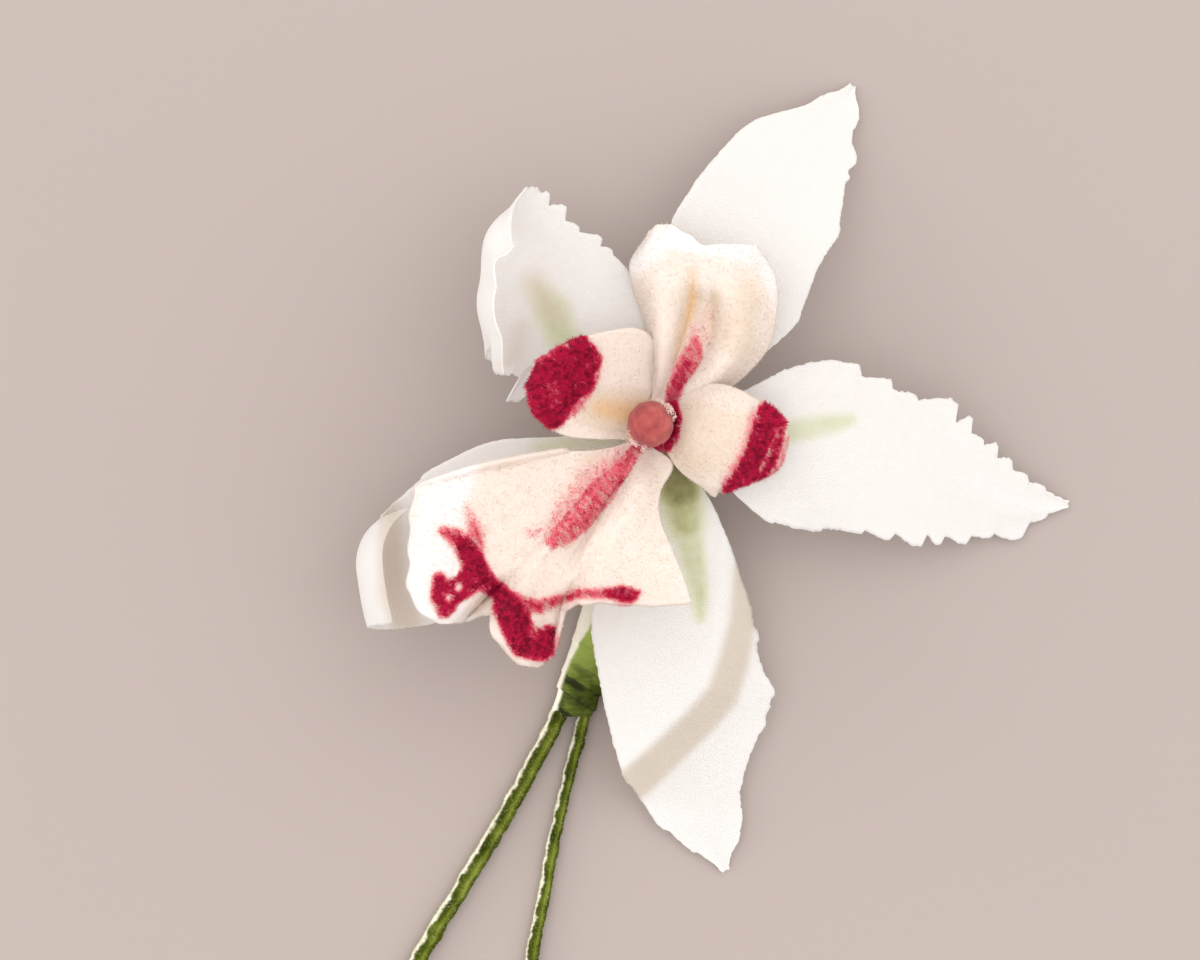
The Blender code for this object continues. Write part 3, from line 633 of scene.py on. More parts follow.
def cut_edge(share, length, teeth, fray, draw):
    """The outline of a cut silk edge: its teeth, and thread ends of uneven length along them."""
    threads = int(length / THREAD_STEP)
    ends = np.array([draw.uniform(-1, 1) for _ in range(threads + 1)])
    knots = np.array([draw.uniform(-1, 1) for _ in range(threads // 5 + 1)])
    place = np.minimum(share, 0.999) * threads
    stepped = ends[place.astype(int)]
    clumps = knots[(place / 5).astype(int)]
    return toothed(share, teeth) + fray * (stepped + 0.8 * clumps * eased(0.3, 0.8, place / 5 % 1))


def petal_grid(spec, seed):
    """Points of a silk petal on a grid, with the place of each on the flat cloth."""
    midrib = Midrib(spec["midrib"])
    draw = random.Random(seed + 40)
    share = np.linspace(0, 1, PETAL_ROWS + 1)
    side = np.linspace(-1, 1, PETAL_COLUMNS + 1)
    where, _, left, up = midrib.at(share)
    out = np.zeros((len(share), len(side)))
    lift = np.zeros_like(out)
    flat = np.zeros_like(out)
    for name, sign, fray in (("left", 1, spec["fray"][0]), ("right", -1, spec["fray"][1])):
        mine = side * sign > 0 if sign < 0 else side >= 0
        width = np.maximum(through(spec[name], share), 0.3)
        ragged = cut_edge(share, midrib.length, spec["teeth_" + name], fray, draw)
        ragged = ragged * eased(0.1, 0.3, share)
        near, far = spec["turn_" + name]
        turn = near * eased(0.0, 0.35, share) + (far - near) * eased(0.66, 0.86, share)
        a, b = across(width[:, None], side[None, mine], turn[:, None])
        near_edge = eased(0.72, 1.0, np.abs(side[mine]))
        out[:, mine] = a + sign * ragged[:, None] * near_edge
        lift[:, mine] = b
        flat[:, mine] = width[:, None] * side[mine] + sign * ragged[:, None] * near_edge
    wave = np.sin(2 * math.pi * (2.3 * share[:, None] + 0.2 * side))
    lift += spec["wave"] * side**2 * wave
    lift += 0.12 * np.sin(2 * math.pi * (3.7 * share[:, None] + 0.55 * side + seed)) * np.abs(side)
    grid = where[:, None] + left[:, None] * out[..., None] + up[:, None] * lift[..., None]
    heading = (where[-1] - where[0]) * (1, 1, 0)
    belly = np.sin(math.pi * np.clip(-side, 0, 1)) ** 2 * eased(0.3, 0.62, share)[:, None]
    belly = np.maximum(belly, 0.55 * (side < -0.5) * eased(0.5, 1.0, share)[:, None])
    grid += spec["belly"] * belly[..., None] * heading / np.linalg.norm(heading)
    along = np.broadcast_to((share * midrib.length)[:, None], out.shape)
    return grid, np.stack([flat, along], axis=-1)


def beyond_line(line, places):
    """How far places are beyond a line, on its left as seen walking along it."""
    nearest = np.full(places.shape[:-1], 1e9)
    beyond = np.zeros_like(nearest)
    for start, end in zip(line, line[1:]):
        start, end = np.array(start), np.array(end)
        step = end - start
        t = np.clip(((places - start) @ step) / (step @ step), 0, 1)
        away = places - start - t[..., None] * step
        distance = np.linalg.norm(away, axis=-1)
        closer = distance < nearest
        nearest = np.where(closer, distance, nearest)
        side = np.sign(step[0] * away[..., 1] - step[1] * away[..., 0])
        beyond = np.where(closer, side * distance, beyond)
    return beyond


def folded(grid):
    """The lower sepal's cloth, held up level and then folded down along a line to its tip."""
    beyond = beyond_line(FOLD_LINE, seen(grid)) / FOLD_HALF_WIDTH
    slope = 0.5 + 0.25 * (np.sqrt((beyond + 1) ** 2 + 0.06) - np.sqrt((beyond - 1) ** 2 + 0.06))
    level = grid[..., 2]
    held = level + 0.8 * np.maximum(FOLD_LEVEL - level, 0) * np.exp(-((np.minimum(beyond + 1, 0) / 4) ** 2))
    dropped = level - FOLD_LOSS * (level - 0.35) * np.exp(-((np.maximum(beyond - 1, 0) / 4) ** 2))
    grid = grid.copy()
    grid[..., 2] = held * (1 - slope) + dropped * slope
    return grid


def lobe_points(spec, share, side):
    """Points of a plain velvet lobe, cupped or arched."""
    where, _, left, up = Midrib(spec["midrib"]).at(share)
    width = np.where(side >= 0, through(spec["left"], share), through(spec["right"], share))
    out, lift = across(width, side, through(spec["turn"], share))
    return where + left * out[..., None] + up * lift[..., None]


def upper_lobe_points(share, side):
    """Points of the upper lobe: two round cheeks with a channel between, that meet at the end."""
    where, forward, left, up = Midrib(UPPER_LOBE["midrib"]).at(share)
    width = np.where(side >= 0, through(UPPER_LOBE["left"], share), through(UPPER_LOBE["right"], share))
    channel = np.where(side >= 0, through(CHANNEL_LEFT, share), through(CHANNEL_RIGHT, share))
    channel = np.minimum(channel, 0.45 * width)
    beyond = np.clip((width * np.abs(side) - channel) / (width - channel), 0.0, 1.0)
    steep = np.where(side >= 0, 0.92, 0.8)
    cheek = np.sin(math.pi * beyond**steep)
    cheek = 0.45 * cheek + 0.55 * cheek**2
    dome = np.cos(math.pi / 2 * side) ** 0.6
    meet = eased(0.66, 0.95, share)
    swell = eased(0.0, 0.45, share) * (1 - 0.8 * eased(0.74, 1.0, share))
    lift = CHEEK_HEIGHT * (cheek * (1 - meet) + dome * meet) * swell
    lift -= 1.5 * side**4 * eased(0.1, 0.5, share) + 1.6 * eased(0.75, 1.0, share)
    reach = between(CHEEK_REACH, side) * eased(0.6, 1.0, share)
    return where + left * (width * side)[..., None] + up * lift[..., None] + forward * reach[..., None]


def fan_height(share, bearing):
    """How high the front lobe stands above the hub, with its crease, its ridge and its ruffled edge."""
    height = FAN_RISE * share**1.15 * (1 - 0.2 * eased(250.0, 280.0, bearing))
    crease = through(CREASE_BEARING, np.minimum(share / CREASE_END, 1.0))
    fading = eased(0.06, 0.25, share) * (1 - eased(*CREASE_FADE, share))
    height = height - CREASE_DEPTH * fading * np.exp(-(((bearing - crease) / CREASE_WIDTH) ** 2))
    beyond = bearing - crease - RIDGE_BEHIND_CREASE
    height = height + RIDGE_HEIGHT * fading * np.exp(-((beyond / RIDGE_WIDTH) ** 2))
    return height + between(RUFFLE, bearing) * eased(RUFFLE_START, 1.0, share)


def front_lobe_points(share, side):
    """Points of the front lobe, a fan that rises from the bead to its ruffled edge."""
    low, high = through(FAN_LEFT_BEARING, share), through(FAN_RIGHT_BEARING, share)
    bearing = low + (high - low) * (side + 1) / 2
    reach = FAN_ROOT + (between(FRONT_EDGE, bearing) - FAN_ROOT) * share
    start, full, falling, end = FINGER_BEARINGS
    finger = eased(start, full, bearing) * (1 - eased(falling, end, bearing))
    angle = np.radians(bearing + FINGER_LEAN * finger * eased(0.72, 1.0, share))
    return np.stack(
        [
            FAN_POLE[0] + reach * np.cos(angle),
            FAN_POLE[1] + reach * np.sin(angle),
            HUB_LEVEL + fan_height(share, bearing),
        ],
        axis=-1,
    )


def hub_points(share, side):
    """Points of the round hub between the lobes."""
    angle = math.pi * side
    reach = 0.3 + (HUB_RADIUS - 0.3) * share
    level = np.full_like(reach, HUB_LEVEL + 0.2) - 0.3 * share**2
    return np.stack([reach * np.cos(angle), reach * np.sin(angle), level], axis=-1)


def seen(points):
    """Where points in mm are seen from above, as x and y at the level of the petals."""
    eye = np.array(EYE)
    spread = (EYE[2] - SEEN_LEVEL) / (EYE[2] - points[..., 2:])
    return eye[:2] + (points[..., :2] - eye[:2]) * spread


def stroke_strength(strokes, places, start_with=0.0):
    """How strongly brush strokes cover places, each stroke soft at its edge."""
    total = np.full(places.shape[:-1], start_with)
    for strength, softness, stroke in strokes:
        reach = np.full(total.shape, -1e9)
        for start, end in zip(stroke, stroke[1:]):
            start, end = np.array(start), np.array(end)
            step = end[:2] - start[:2]
            t = np.clip(((places - start[:2]) @ step) / (step @ step), 0, 1)
            nearest = start[:2] + t[..., None] * step
            radius = start[2] + (end[2] - start[2]) * t
            reach = np.maximum(reach, radius - np.linalg.norm(places - nearest, axis=-1))
        cover = eased(-softness, softness, reach)
        total = total + strength * cover if strength < 0 else np.maximum(total, strength * cover)
    return np.clip(total, 0, 1)


def new_object(name, mesh, *finishes):
    """A piece at the origin, shaded smooth."""
    obj = bpy.data.objects.new(name, mesh)
    bpy.context.scene.collection.objects.link(obj)
    for finish in finishes:
        mesh.materials.append(finish)
    if mesh.polygons:
        mesh.shade_smooth()
    return obj


def fitted(obj, slot, *nodes):
    """Puts a finished piece on the body, in the place of these CAD nodes."""
    if nodes:
        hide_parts(*nodes)
    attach(obj, "root")
    return obj


def mesh_of(bm, name):
    """A mesh from a bmesh, which is freed."""
    mesh = bpy.data.meshes.new(name)
    bm.to_mesh(mesh)
    bm.free()
    return mesh


def marked_mesh(name, points, faces, values):
    """A mesh of points in mm, with named numbers for each point."""
    mesh = bpy.data.meshes.new(name)
    mesh.from_pydata((points.reshape(-1, 3) * MM).tolist(), [], faces)
    for key, value in values.items():
        mesh.attributes.new(key, "FLOAT", "POINT").data.foreach_set("value", np.ravel(value))
    return mesh


def cloth_mesh(name, grid, thickness, uv, values):
    """A closed cloth from a grid of points: an upper face, a lower face and a rim between. values
    are named numbers for each point of both faces."""
    rows, columns = grid.shape[:2]
    count = rows * columns
    up = np.cross(np.gradient(grid, axis=0), np.gradient(grid, axis=1))
    up = up / np.maximum(np.linalg.norm(up, axis=-1, keepdims=True), 1e-9)
    points = np.stack([grid + up * thickness / 2, grid - up * thickness / 2])
    index = np.arange(count).reshape(rows, columns)
    quads = np.stack([index[:-1, :-1], index[1:, :-1], index[1:, 1:], index[:-1, 1:]], axis=-1)
    quads = quads.reshape(-1, 4)
    rim = [*index[0, :-1], *index[:-1, -1], *index[-1, :0:-1], *index[:0:-1, 0]]
    edge = [(a, b, b + count, a + count) for a, b in zip(rim, rim[1:] + rim[:1])]
    faces = [*quads.tolist(), *(quads[:, ::-1] + count).tolist(), *edge]
    mesh = marked_mesh(name, points, faces, values)
    corners = np.zeros(len(mesh.loops), int)
    mesh.loops.foreach_get("vertex_index", corners)
    flat = uv.reshape(-1, 2)[corners % count]
    mesh.uv_layers.new(name="cloth").data.foreach_set("uv", flat.ravel())
    return mesh


def ring_mesh(name, rings, values):
    """A closed tube through rings of points."""
    rows, sides = rings.shape[:2]
    index = np.arange(rows * sides).reshape(rows, sides)
    after = np.roll(index, -1, axis=1)
    quads = np.stack([index[:-1], after[:-1], after[1:], index[1:]], axis=-1).reshape(-1, 4)
    faces = [*quads.tolist(), index[0, ::-1].tolist(), index[-1].tolist()]
    return marked_mesh(name, rings, faces, values)


def socket_named(sockets, name):
    """A node's socket by its place or its name, passing over the ones that its settings turn off."""
    if isinstance(name, int):
        return sockets[name]
    return next(s for s in sockets if s.enabled and s.name == name)


def add_node(tree, kind, inputs=None, **settings):
    """A node with its settings and inputs, each input a value or the output of another node."""
    node = tree.nodes.new(kind)
    for key, value in settings.items():
        setattr(node, key, value)
    for name, value in (inputs or {}).items():
        socket = socket_named(node.inputs, name)
        if isinstance(value, bpy.types.NodeSocket):
            tree.links.new(value, socket)
        else:
            socket.default_value = value
    return node


def first_out(tree, kind, inputs=None, **settings):
    """The first output of a new node."""
    return add_node(tree, kind, inputs, **settings).outputs[0]


def maths(tree, operation, a, b=0.0, c=0.0):
    """The result of one Math node."""
    return first_out(tree, "ShaderNodeMath", {0: a, 1: b, 2: c}, operation=operation)


def centred(tree, value):
    """A number from 0 to 1, moved to lie round 0."""
    return maths(tree, "SUBTRACT", value, 0.5)


def clamped(tree, value):
    """A number kept from 0 to 1."""
    return first_out(tree, "ShaderNodeClamp", {0: value})


def vector_maths(tree, operation, a, b):
    """The vector that one Vector Math node gives."""
    return first_out(tree, "ShaderNodeVectorMath", {0: a, 1: b}, operation=operation)


def scaled(tree, vector, factor):
    """A vector made longer or shorter."""
    inputs = {0: vector, "Scale": factor}
    return first_out(tree, "ShaderNodeVectorMath", inputs, operation="SCALE")


def dotted(tree, vector, way):
    """How far a vector goes one way."""
    node = add_node(tree, "ShaderNodeVectorMath", {0: vector, 1: way}, operation="DOT_PRODUCT")
    return node.outputs["Value"]


def noise(tree, vector, scale, detail=2.0, output=0):
    """A cloud pattern that repeats about `scale` times a metre: its strength, or its colour as 1."""
    inputs = {"Vector": vector, "Scale": scale, "Detail": detail}
    return add_node(tree, "ShaderNodeTexNoise", inputs).outputs[output]


def ramp(tree, factor, stops, smooth=True):
    """A colour read off a ramp of (place, colour) stops."""
    node = add_node(tree, "ShaderNodeValToRGB", {"Fac": factor})
    node.color_ramp.interpolation = "EASE" if smooth else "LINEAR"
    elements = node.color_ramp.elements
    while len(elements) < len(stops):
        elements.new(0.5)
    for element, (place, colour) in zip(elements, stops):
        element.position = place
        element.color = (*colour, 1.0)
    return node.outputs["Color"]


def blended(tree, factor, a, b, how="MIX"):
    """A mix of two colours."""
    a, b = ((*colour, 1.0) if isinstance(colour, tuple) else colour for colour in (a, b))
    inputs = {"Factor": factor, "A": a, "B": b}
    node = add_node(tree, "ShaderNodeMix", inputs, data_type="RGBA", blend_type=how)
    return socket_named(node.outputs, "Result")


def new_material(name, colour, roughness, **more):
    """A material with its Principled shader, whose even values are set on its own sockets."""
    made = bpy.data.materials.new(name)
    made.use_nodes = True
    shader = made.node_tree.nodes["Principled BSDF"]
    shader.inputs["Base Color"].default_value = (*colour, 1.0)
    shader.inputs["Roughness"].default_value = roughness
    for key, value in more.items():
        label = key.replace("_", " ").title().replace("Ior", "IOR")
        shader.inputs[label].default_value = value
    return made, made.node_tree, shader


def painted(tree, name):
    """A number that is kept on a piece's points, in a material."""
    return add_node(tree, "ShaderNodeAttribute", attribute_name=name).outputs["Fac"]


def object_place(tree):
    """The place on the piece, in metres."""
    return add_node(tree, "ShaderNodeTexCoord").outputs["Object"]


def coloured(tree, shader, colour):
    """Gives a shader its colour from a node."""
    tree.links.new(colour, shader.inputs["Base Color"])


def bumped(tree, shader, height, depth, strength=1.0):
    """Raises a shader's surface by a height pattern, `depth` mm deep."""
    inputs = {"Height": height, "Distance": depth * MM, "Strength": strength}
    normal = add_node(tree, "ShaderNodeBump", inputs).outputs["Normal"]
    tree.links.new(normal, shader.inputs["Normal"])
    return normal


def see_through(tree, shader, colour, share, normal=None):
    """Lets a share of the light through a thin piece, spread as through cloth."""
    inputs = {"Color": colour} | ({"Normal": normal} if normal else {})
    glow = first_out(tree, "ShaderNodeBsdfTranslucent", inputs)
    mixed = first_out(tree, "ShaderNodeMixShader", {0: share, 1: shader.outputs[0], 2: glow})
    tree.links.new(mixed, tree.nodes["Material Output"].inputs["Surface"])


def silk_material():
    """White plain-woven silk, green along the midrib, with shade painted a pale brown along its folds,
    which lets light through.
    """
    made, tree, shader = new_material(
        "silk", (0.93, 0.9, 0.87), 0.6, sheen_weight=0.25, sheen_roughness=0.4
    )
    uv = first_out(tree, "ShaderNodeUVMap", uv_map="cloth")
    parts = add_node(tree, "ShaderNodeSeparateXYZ", {0: uv}).outputs
    turn = 2 * math.pi / WEAVE_PITCH
    warp, weft = (maths(tree, "SINE", maths(tree, "MULTIPLY", parts[k], turn)) for k in (0, 1))
    weave = maths(tree, "MULTIPLY", warp, weft)
    slubs = noise(tree, uv, 0.9, 3.0)
    height = maths(tree, "MULTIPLY_ADD", slubs, 1.6, weave)
    uneven = maths(tree, "MULTIPLY_ADD", slubs, 0.8, 0.6)
    dyed = maths(tree, "MULTIPLY", uneven, painted(tree, "dye"))
    cloth = ramp(tree, dyed, SILK_SHADES, smooth=False)
    # Shade painted a pale brown along the petals' folds and inside their curled rims
    cloth = blended(tree, painted(tree, "painted_fold_shade"), cloth, FOLD_SHADE_COLOUR)
    gaps = maths(tree, "MULTIPLY_ADD", weave, -0.035, 0.965)
    gaps = first_out(tree, "ShaderNodeCombineColor", {0: gaps, 1: gaps, 2: gaps})
    colour = blended(tree, 1.0, cloth, gaps, "MULTIPLY")
    coloured(tree, shader, colour)
    see_through(tree, shader, colour, 0.45, bumped(tree, shader, height, 0.03, 0.7))
    return made


def velvet_material():
    """The cloth under the pile, dyed as the pile is, thin enough to let light through."""
    made, tree, shader = new_material("velvet", (0.9, 0.83, 0.75), 0.95, sheen_weight=0.2)
    dye = painted(tree, "dye")
    place = object_place(tree)
    amount = maths(tree, "MULTIPLY_ADD", centred(tree, noise(tree, place, 900.0, 3.0)), 0.12, dye)
    # Cream that deepens where the cloth is warmer and where shade is painted on the velvet
    cream = ramp(tree, painted(tree, "warm_and_shade"), CREAM_SHADES)
    cover = clamped(tree, maths(tree, "MULTIPLY", dye, 8.0))
    colour = blended(tree, cover, cream, ramp(tree, amount, DYE_SHADES))
    coloured(tree, shader, colour)
    bumped(tree, shader, noise(tree, place, 4200.0), 0.08)
    see_through(tree, shader, colour, 0.35)
    return made


def fibre_material(name, colour, roughness, share, **more):
    """One even finish for loose fibres, which lets a share of the light through."""
    made, tree, shader = new_material(name, colour, roughness, **more)
    if share:
        see_through(tree, shader, (*colour, 1.0), share)
    return made


def bead_material():
    """Coral felt, a little darker where it is rubbed."""
    made, tree, shader = new_material("coral", (0.5, 0.1, 0.1), 0.8, sheen_weight=0.15)
    place = object_place(tree)
    cloud = noise(tree, place, 800.0, 4.0)
    fine = noise(tree, place, 5200.0)
    coloured(tree, shader, ramp(tree, cloud, CORAL_SHADES))
    bumped(tree, shader, maths(tree, "MULTIPLY_ADD", cloud, 0.8, fine), 0.07)
    return made


def thread_material():
    """Green thread wound tight, with a highlight painted along the seam and rim light painted pale on the
    side towards the low left lamp.
    """
    made, tree, shader = new_material(
        "green_thread", (0.05, 0.07, 0.003), 0.75, specular_ior_level=0.08
    )
    place = object_place(tree)
    fibres = noise(tree, place, 6500.0)
    mixed = noise(tree, place, 520.0, 4.0)
    mixed = maths(tree, "MULTIPLY_ADD", centred(tree, fibres), 0.3, mixed)
    # A highlight painted along the ridge of the seam
    mixed = maths(tree, "MULTIPLY_ADD", painted(tree, "seam_and_highlight"), 0.4, mixed)
    colour = ramp(tree, mixed, THREAD_SHADES)
    # Rim light painted pale on the side towards the low left lamp
    coloured(tree, shader, blended(tree, painted(tree, "painted_rim_light"), colour, (0.86, 0.83, 0.68)))
    bumped(tree, shader, fibres, 0.02)
    return made


def tape_material():
    """Green waxed crepe tape, creased along its turns, with shade painted dark below their edges, paler at
    its end, and rim light painted pale on the side towards the low left lamp.
    """
    made, tree, shader = new_material(
        "green_tape", (0.12, 0.19, 0.03), 0.6, specular_ior_level=0.15
    )
    place = object_place(tree)
    stretched = vector_maths(tree, "MULTIPLY", place, (0.4, 1.5, 1.0))
    creases = noise(tree, stretched, 2200.0, 3.0)
    mixed = noise(tree, place, 330.0, 4.0)
    mixed = maths(tree, "MULTIPLY_ADD", centred(tree, creases), 0.35, mixed)
    # Shade painted dark below the edge of each turn
    mixed = maths(tree, "MULTIPLY_ADD", painted(tree, "turn_edge_shade"), -0.75, mixed)
    colour = ramp(tree, mixed, TAPE_SHADES)
    along = add_node(tree, "ShaderNodeSeparateXYZ", {0: place}).outputs[1]
    upper_end = clamped(tree, maths(tree, "MULTIPLY_ADD", along, 330.0, 8.6))
    colour = blended(tree, maths(tree, "MULTIPLY", upper_end, 0.55), colour, (0.36, 0.46, 0.1))
    # Rim light painted pale on the side towards the low left lamp
    coloured(tree, shader, blended(tree, painted(tree, "painted_rim_light"), colour, (0.86, 0.83, 0.7)))
    bumped(tree, shader, creases, 0.05)
    return made


def wire_material():
    """Bare steel wire, dulled unevenly."""
    made, tree, shader = new_material("steel", (0.55, 0.55, 0.56), 0.35, metallic=1.0)
    cloud = noise(tree, object_place(tree), 1800.0, 3.0)
    roughness = maths(tree, "MULTIPLY_ADD", cloud, 0.4, 0.2)
    tree.links.new(roughness, shader.inputs["Roughness"])
    return made


def new_tree(name, inputs):
    """A geometry tree with its named inputs and their values, and its input and output sockets."""
    tree = bpy.data.node_groups.new(name, "GeometryNodeTree")
    for way in ("INPUT", "OUTPUT"):
        tree.interface.new_socket("Geometry", in_out=way, socket_type="NodeSocketGeometry")
    for label, value in inputs.items():
        kind = "NodeSocketInt" if isinstance(value, int) else "NodeSocketFloat"
        tree.interface.new_socket(label, in_out="INPUT", socket_type=kind).default_value = value
    given = tree.nodes.new("NodeGroupInput").outputs
    return tree, given, tree.nodes.new("NodeGroupOutput").inputs[0]


def grown(name, start, tree, sizes=None):
    """What a tree makes of a mesh, as a piece with a plain mesh of its own."""
    base = new_object(name, start)
    modifier = base.modifiers.new("grow", "NODES")
    modifier.node_group = tree
    for item in tree.interface.items_tree:
        if item.in_out == "INPUT" and item.name in (sizes or {}):
            modifier[item.identifier] = sizes[item.name]
    graph = bpy.context.evaluated_depsgraph_get()
    graph.update()
    mesh = bpy.data.meshes.new_from_object(base.evaluated_get(graph))
    for k in reversed(range(len(mesh.materials))):
        if mesh.materials[k] is None:
            mesh.materials.pop(index=k)
    bpy.data.objects.remove(base, do_unlink=True)
    mesh.name = name
    return new_object(name, mesh)


def named(tree, name):
    """A named number of the surface, in a geometry tree."""
    node = add_node(tree, "GeometryNodeInputNamedAttribute", {"Name": name}, data_type="FLOAT")
    return socket_named(node.outputs, "Attribute")


def marked(tree, geometry, name, value):
    """Keeps a number on each point under a name."""
    inputs = {"Geometry": geometry, "Name": name, "Value": value}
    kind = "GeometryNodeStoreNamedAttribute"
    return first_out(tree, kind, inputs, data_type="FLOAT", domain="POINT")


def random_value(tree, low, high, seed):
    """An even random draw for each point."""
    inputs = {"Min": low, "Max": high, "Seed": seed}
    node = add_node(tree, "FunctionNodeRandomValue", inputs, data_type="FLOAT")
    return socket_named(node.outputs, "Value")


def random_vector(tree, low, high, seed=0):
    """A random draw in a box for each point."""
    inputs = {"Min": (low,) * 3, "Max": (high,) * 3, "Seed": seed}
    return first_out(tree, "FunctionNodeRandomValue", inputs, data_type="FLOAT_VECTOR")


def cell_values(tree, place, scale):
    """A random number from -0.5 to 0.5 for each cell of a cell pattern."""
    cells = add_node(tree, "ShaderNodeTexVoronoi", {"Vector": place, "Scale": scale})
    return centred(tree, dotted(tree, cells.outputs["Color"], (1.0, 0.0, 0.0)))


def planted(tree, points, shape, rotation, size):
    """A shape set at each point, as real geometry."""
    inputs = {"Points": points, "Instance": shape, "Rotation": rotation, "Scale": size}
    placed = first_out(tree, "GeometryNodeInstanceOnPoints", inputs)
    return first_out(tree, "GeometryNodeRealizeInstances", {0: placed})


def spots_on(tree, given, density):
    """Random points on the surface, and the way that the surface faces at each."""
    inputs = {"Mesh": given["Geometry"], "Density": density, "Seed": given["Seed"]}
    kind = "GeometryNodeDistributePointsOnFaces"
    spots = add_node(tree, kind, inputs, distribute_method="RANDOM").outputs
    return spots["Points"], spots["Normal"]


def fibre_shape(tree, radius, length):
    """A tapered fibre, standing up."""
    inputs = {"Vertices": 3, "Radius Top": 0.0, "Radius Bottom": radius, "Depth": length}
    return first_out(tree, "GeometryNodeMeshCone", inputs, fill_type="NONE")


def tube_shape(tree, route, ring):
    """A capped tube along a route."""
    inputs = {"Curve": route, "Profile Curve": ring, "Fill Caps": True}
    return first_out(tree, "GeometryNodeCurveToMesh", inputs)


def turned_to(tree, aim):
    """The turn that points a standing shape along a way."""
    return first_out(tree, "FunctionNodeAlignRotationToVector", {"Vector": aim}, axis="Z")


def end_tree(tree, geometry, finish, result):
    """Gives the whole its finish, and sends it out."""
    inputs = {"Geometry": geometry, "Material": finish}
    tree.links.new(first_out(tree, "GeometryNodeSetMaterial", inputs), result)
    return tree


def pile_tree(shades):
    """Flocked pile: short tapered fibres that lean together in tufts, each in a shade that is
    drawn from how strongly the cloth is dyed there."""
    tree, given, result = new_tree(
        "flocked_pile",
        {
            "Density": PILE_DENSITY / MM**2,
            "Fibre Length": PILE_LENGTH * MM,
            "Dyed Length": DYED_LENGTH * MM,
            "Fibre Radius": PILE_RADIUS * MM,
            "Lean": PILE_LEAN,
            "Seed": 3,
        },
    )
    dye = named(tree, "dye")
    dyed = maths(tree, "MINIMUM", maths(tree, "MULTIPLY", dye, 1.6), 1.0)
    growth = maths(tree, "MULTIPLY_ADD", dyed, 1.0 - CREAM_SHARE, CREAM_SHARE)
    growth = maths(tree, "MULTIPLY", growth, named(tree, "pile"))
    points, normal = spots_on(tree, given, maths(tree, "MULTIPLY", given["Density"], growth))
    place = first_out(tree, "GeometryNodeInputPosition")

    tufts = noise(tree, place, TUFT_SCALE, 1.0, output=1)
    tufts = vector_maths(tree, "SUBTRACT", tufts, (0.5, 0.5, 0.5))
    off_stripe = maths(tree, "POWER", maths(tree, "ABSOLUTE", maths(tree, "SUBTRACT", dye, 0.45)), 2.0)
    lean = maths(tree, "MULTIPLY", given["Lean"], maths(tree, "MULTIPLY_ADD", off_stripe, 9.0, 0.8))
    strays = scaled(tree, random_vector(tree, -0.4, 0.4), given["Lean"])
    dashed = clamped(tree, maths(tree, "MULTIPLY", maths(tree, "SUBTRACT", 0.64, dye), 7.0))
    lie = maths(tree, "MULTIPLY", maths(tree, "MULTIPLY", dyed, dashed), 1.1)
    aim = normal
    for push in (scaled(tree, tufts, lean), strays, scaled(tree, DASH_LEAN, lie)):
        aim = vector_maths(tree, "ADD", aim, push)

    across_dash = {k: dotted(tree, place, way) for k, way in enumerate(DASH_CELL)}
    dash_place = first_out(tree, "ShaderNodeCombineXYZ", across_dash)
    dashes = cell_values(tree, dash_place, DASH_SCALE)
    grains = maths(tree, "MULTIPLY", cell_values(tree, place, GRAIN_SCALE), GRAIN_CONTRAST)
    clumps = centred(tree, noise(tree, place, CLUMP_SCALE, 1.0))
    grains = maths(tree, "MULTIPLY_ADD", clumps, CLUMP_CONTRAST, grains)
    grains = maths(tree, "MULTIPLY", grains, maths(tree, "SUBTRACT", 1.0, dashed))
    drawn = maths(tree, "MULTIPLY_ADD", dashes, dashed, grains)
    spread = maths(tree, "MULTIPLY_ADD", drawn, DASH_CONTRAST, random_value(tree, -0.08, 0.08, 5))
    some = maths(tree, "MINIMUM", maths(tree, "MULTIPLY", dye, 2.8), 1.0)
    level = maths(tree, "MULTIPLY_ADD", spread, some, dye)
    # Peach fibres where the cloth is warmer, which takes in the places of painted shade
    warm_and_shade = maths(tree, "ADD", named(tree, "warm_and_shade"), random_value(tree, -0.45, 0.45, 8))
    shade = maths(tree, "GREATER_THAN", warm_and_shade, 0.5)
    for k, step in enumerate(DYE_STEPS):
        above = maths(tree, "GREATER_THAN", level, step)
        shade = maths(tree, "MAXIMUM", shade, maths(tree, "MULTIPLY", above, k + 2.0))

    tall = maths(tree, "MULTIPLY_ADD", dyed, given["Dyed Length"], given["Fibre Length"])
    tall = maths(tree, "MULTIPLY", tall, random_value(tree, 0.6 / MM, 1.25 / MM, 11))
    size = first_out(tree, "ShaderNodeCombineXYZ", {0: 1.0, 1: 1.0, 2: tall})
    fibre = fibre_shape(tree, given["Fibre Radius"], MM)
    pile = planted(tree, marked(tree, points, "shade", shade), fibre, turned_to(tree, aim), size)
    for k, finish in enumerate(shades):
        values = {"A": named(tree, "shade"), "B": float(k), "Epsilon": 0.4}
        chosen = first_out(tree, "FunctionNodeCompare", values, data_type="FLOAT", operation="EQUAL")
        inputs = {"Geometry": pile, "Selection": chosen, "Material": finish}
        pile = first_out(tree, "GeometryNodeSetMaterial", inputs)
    tree.links.new(pile, result)
    return tree


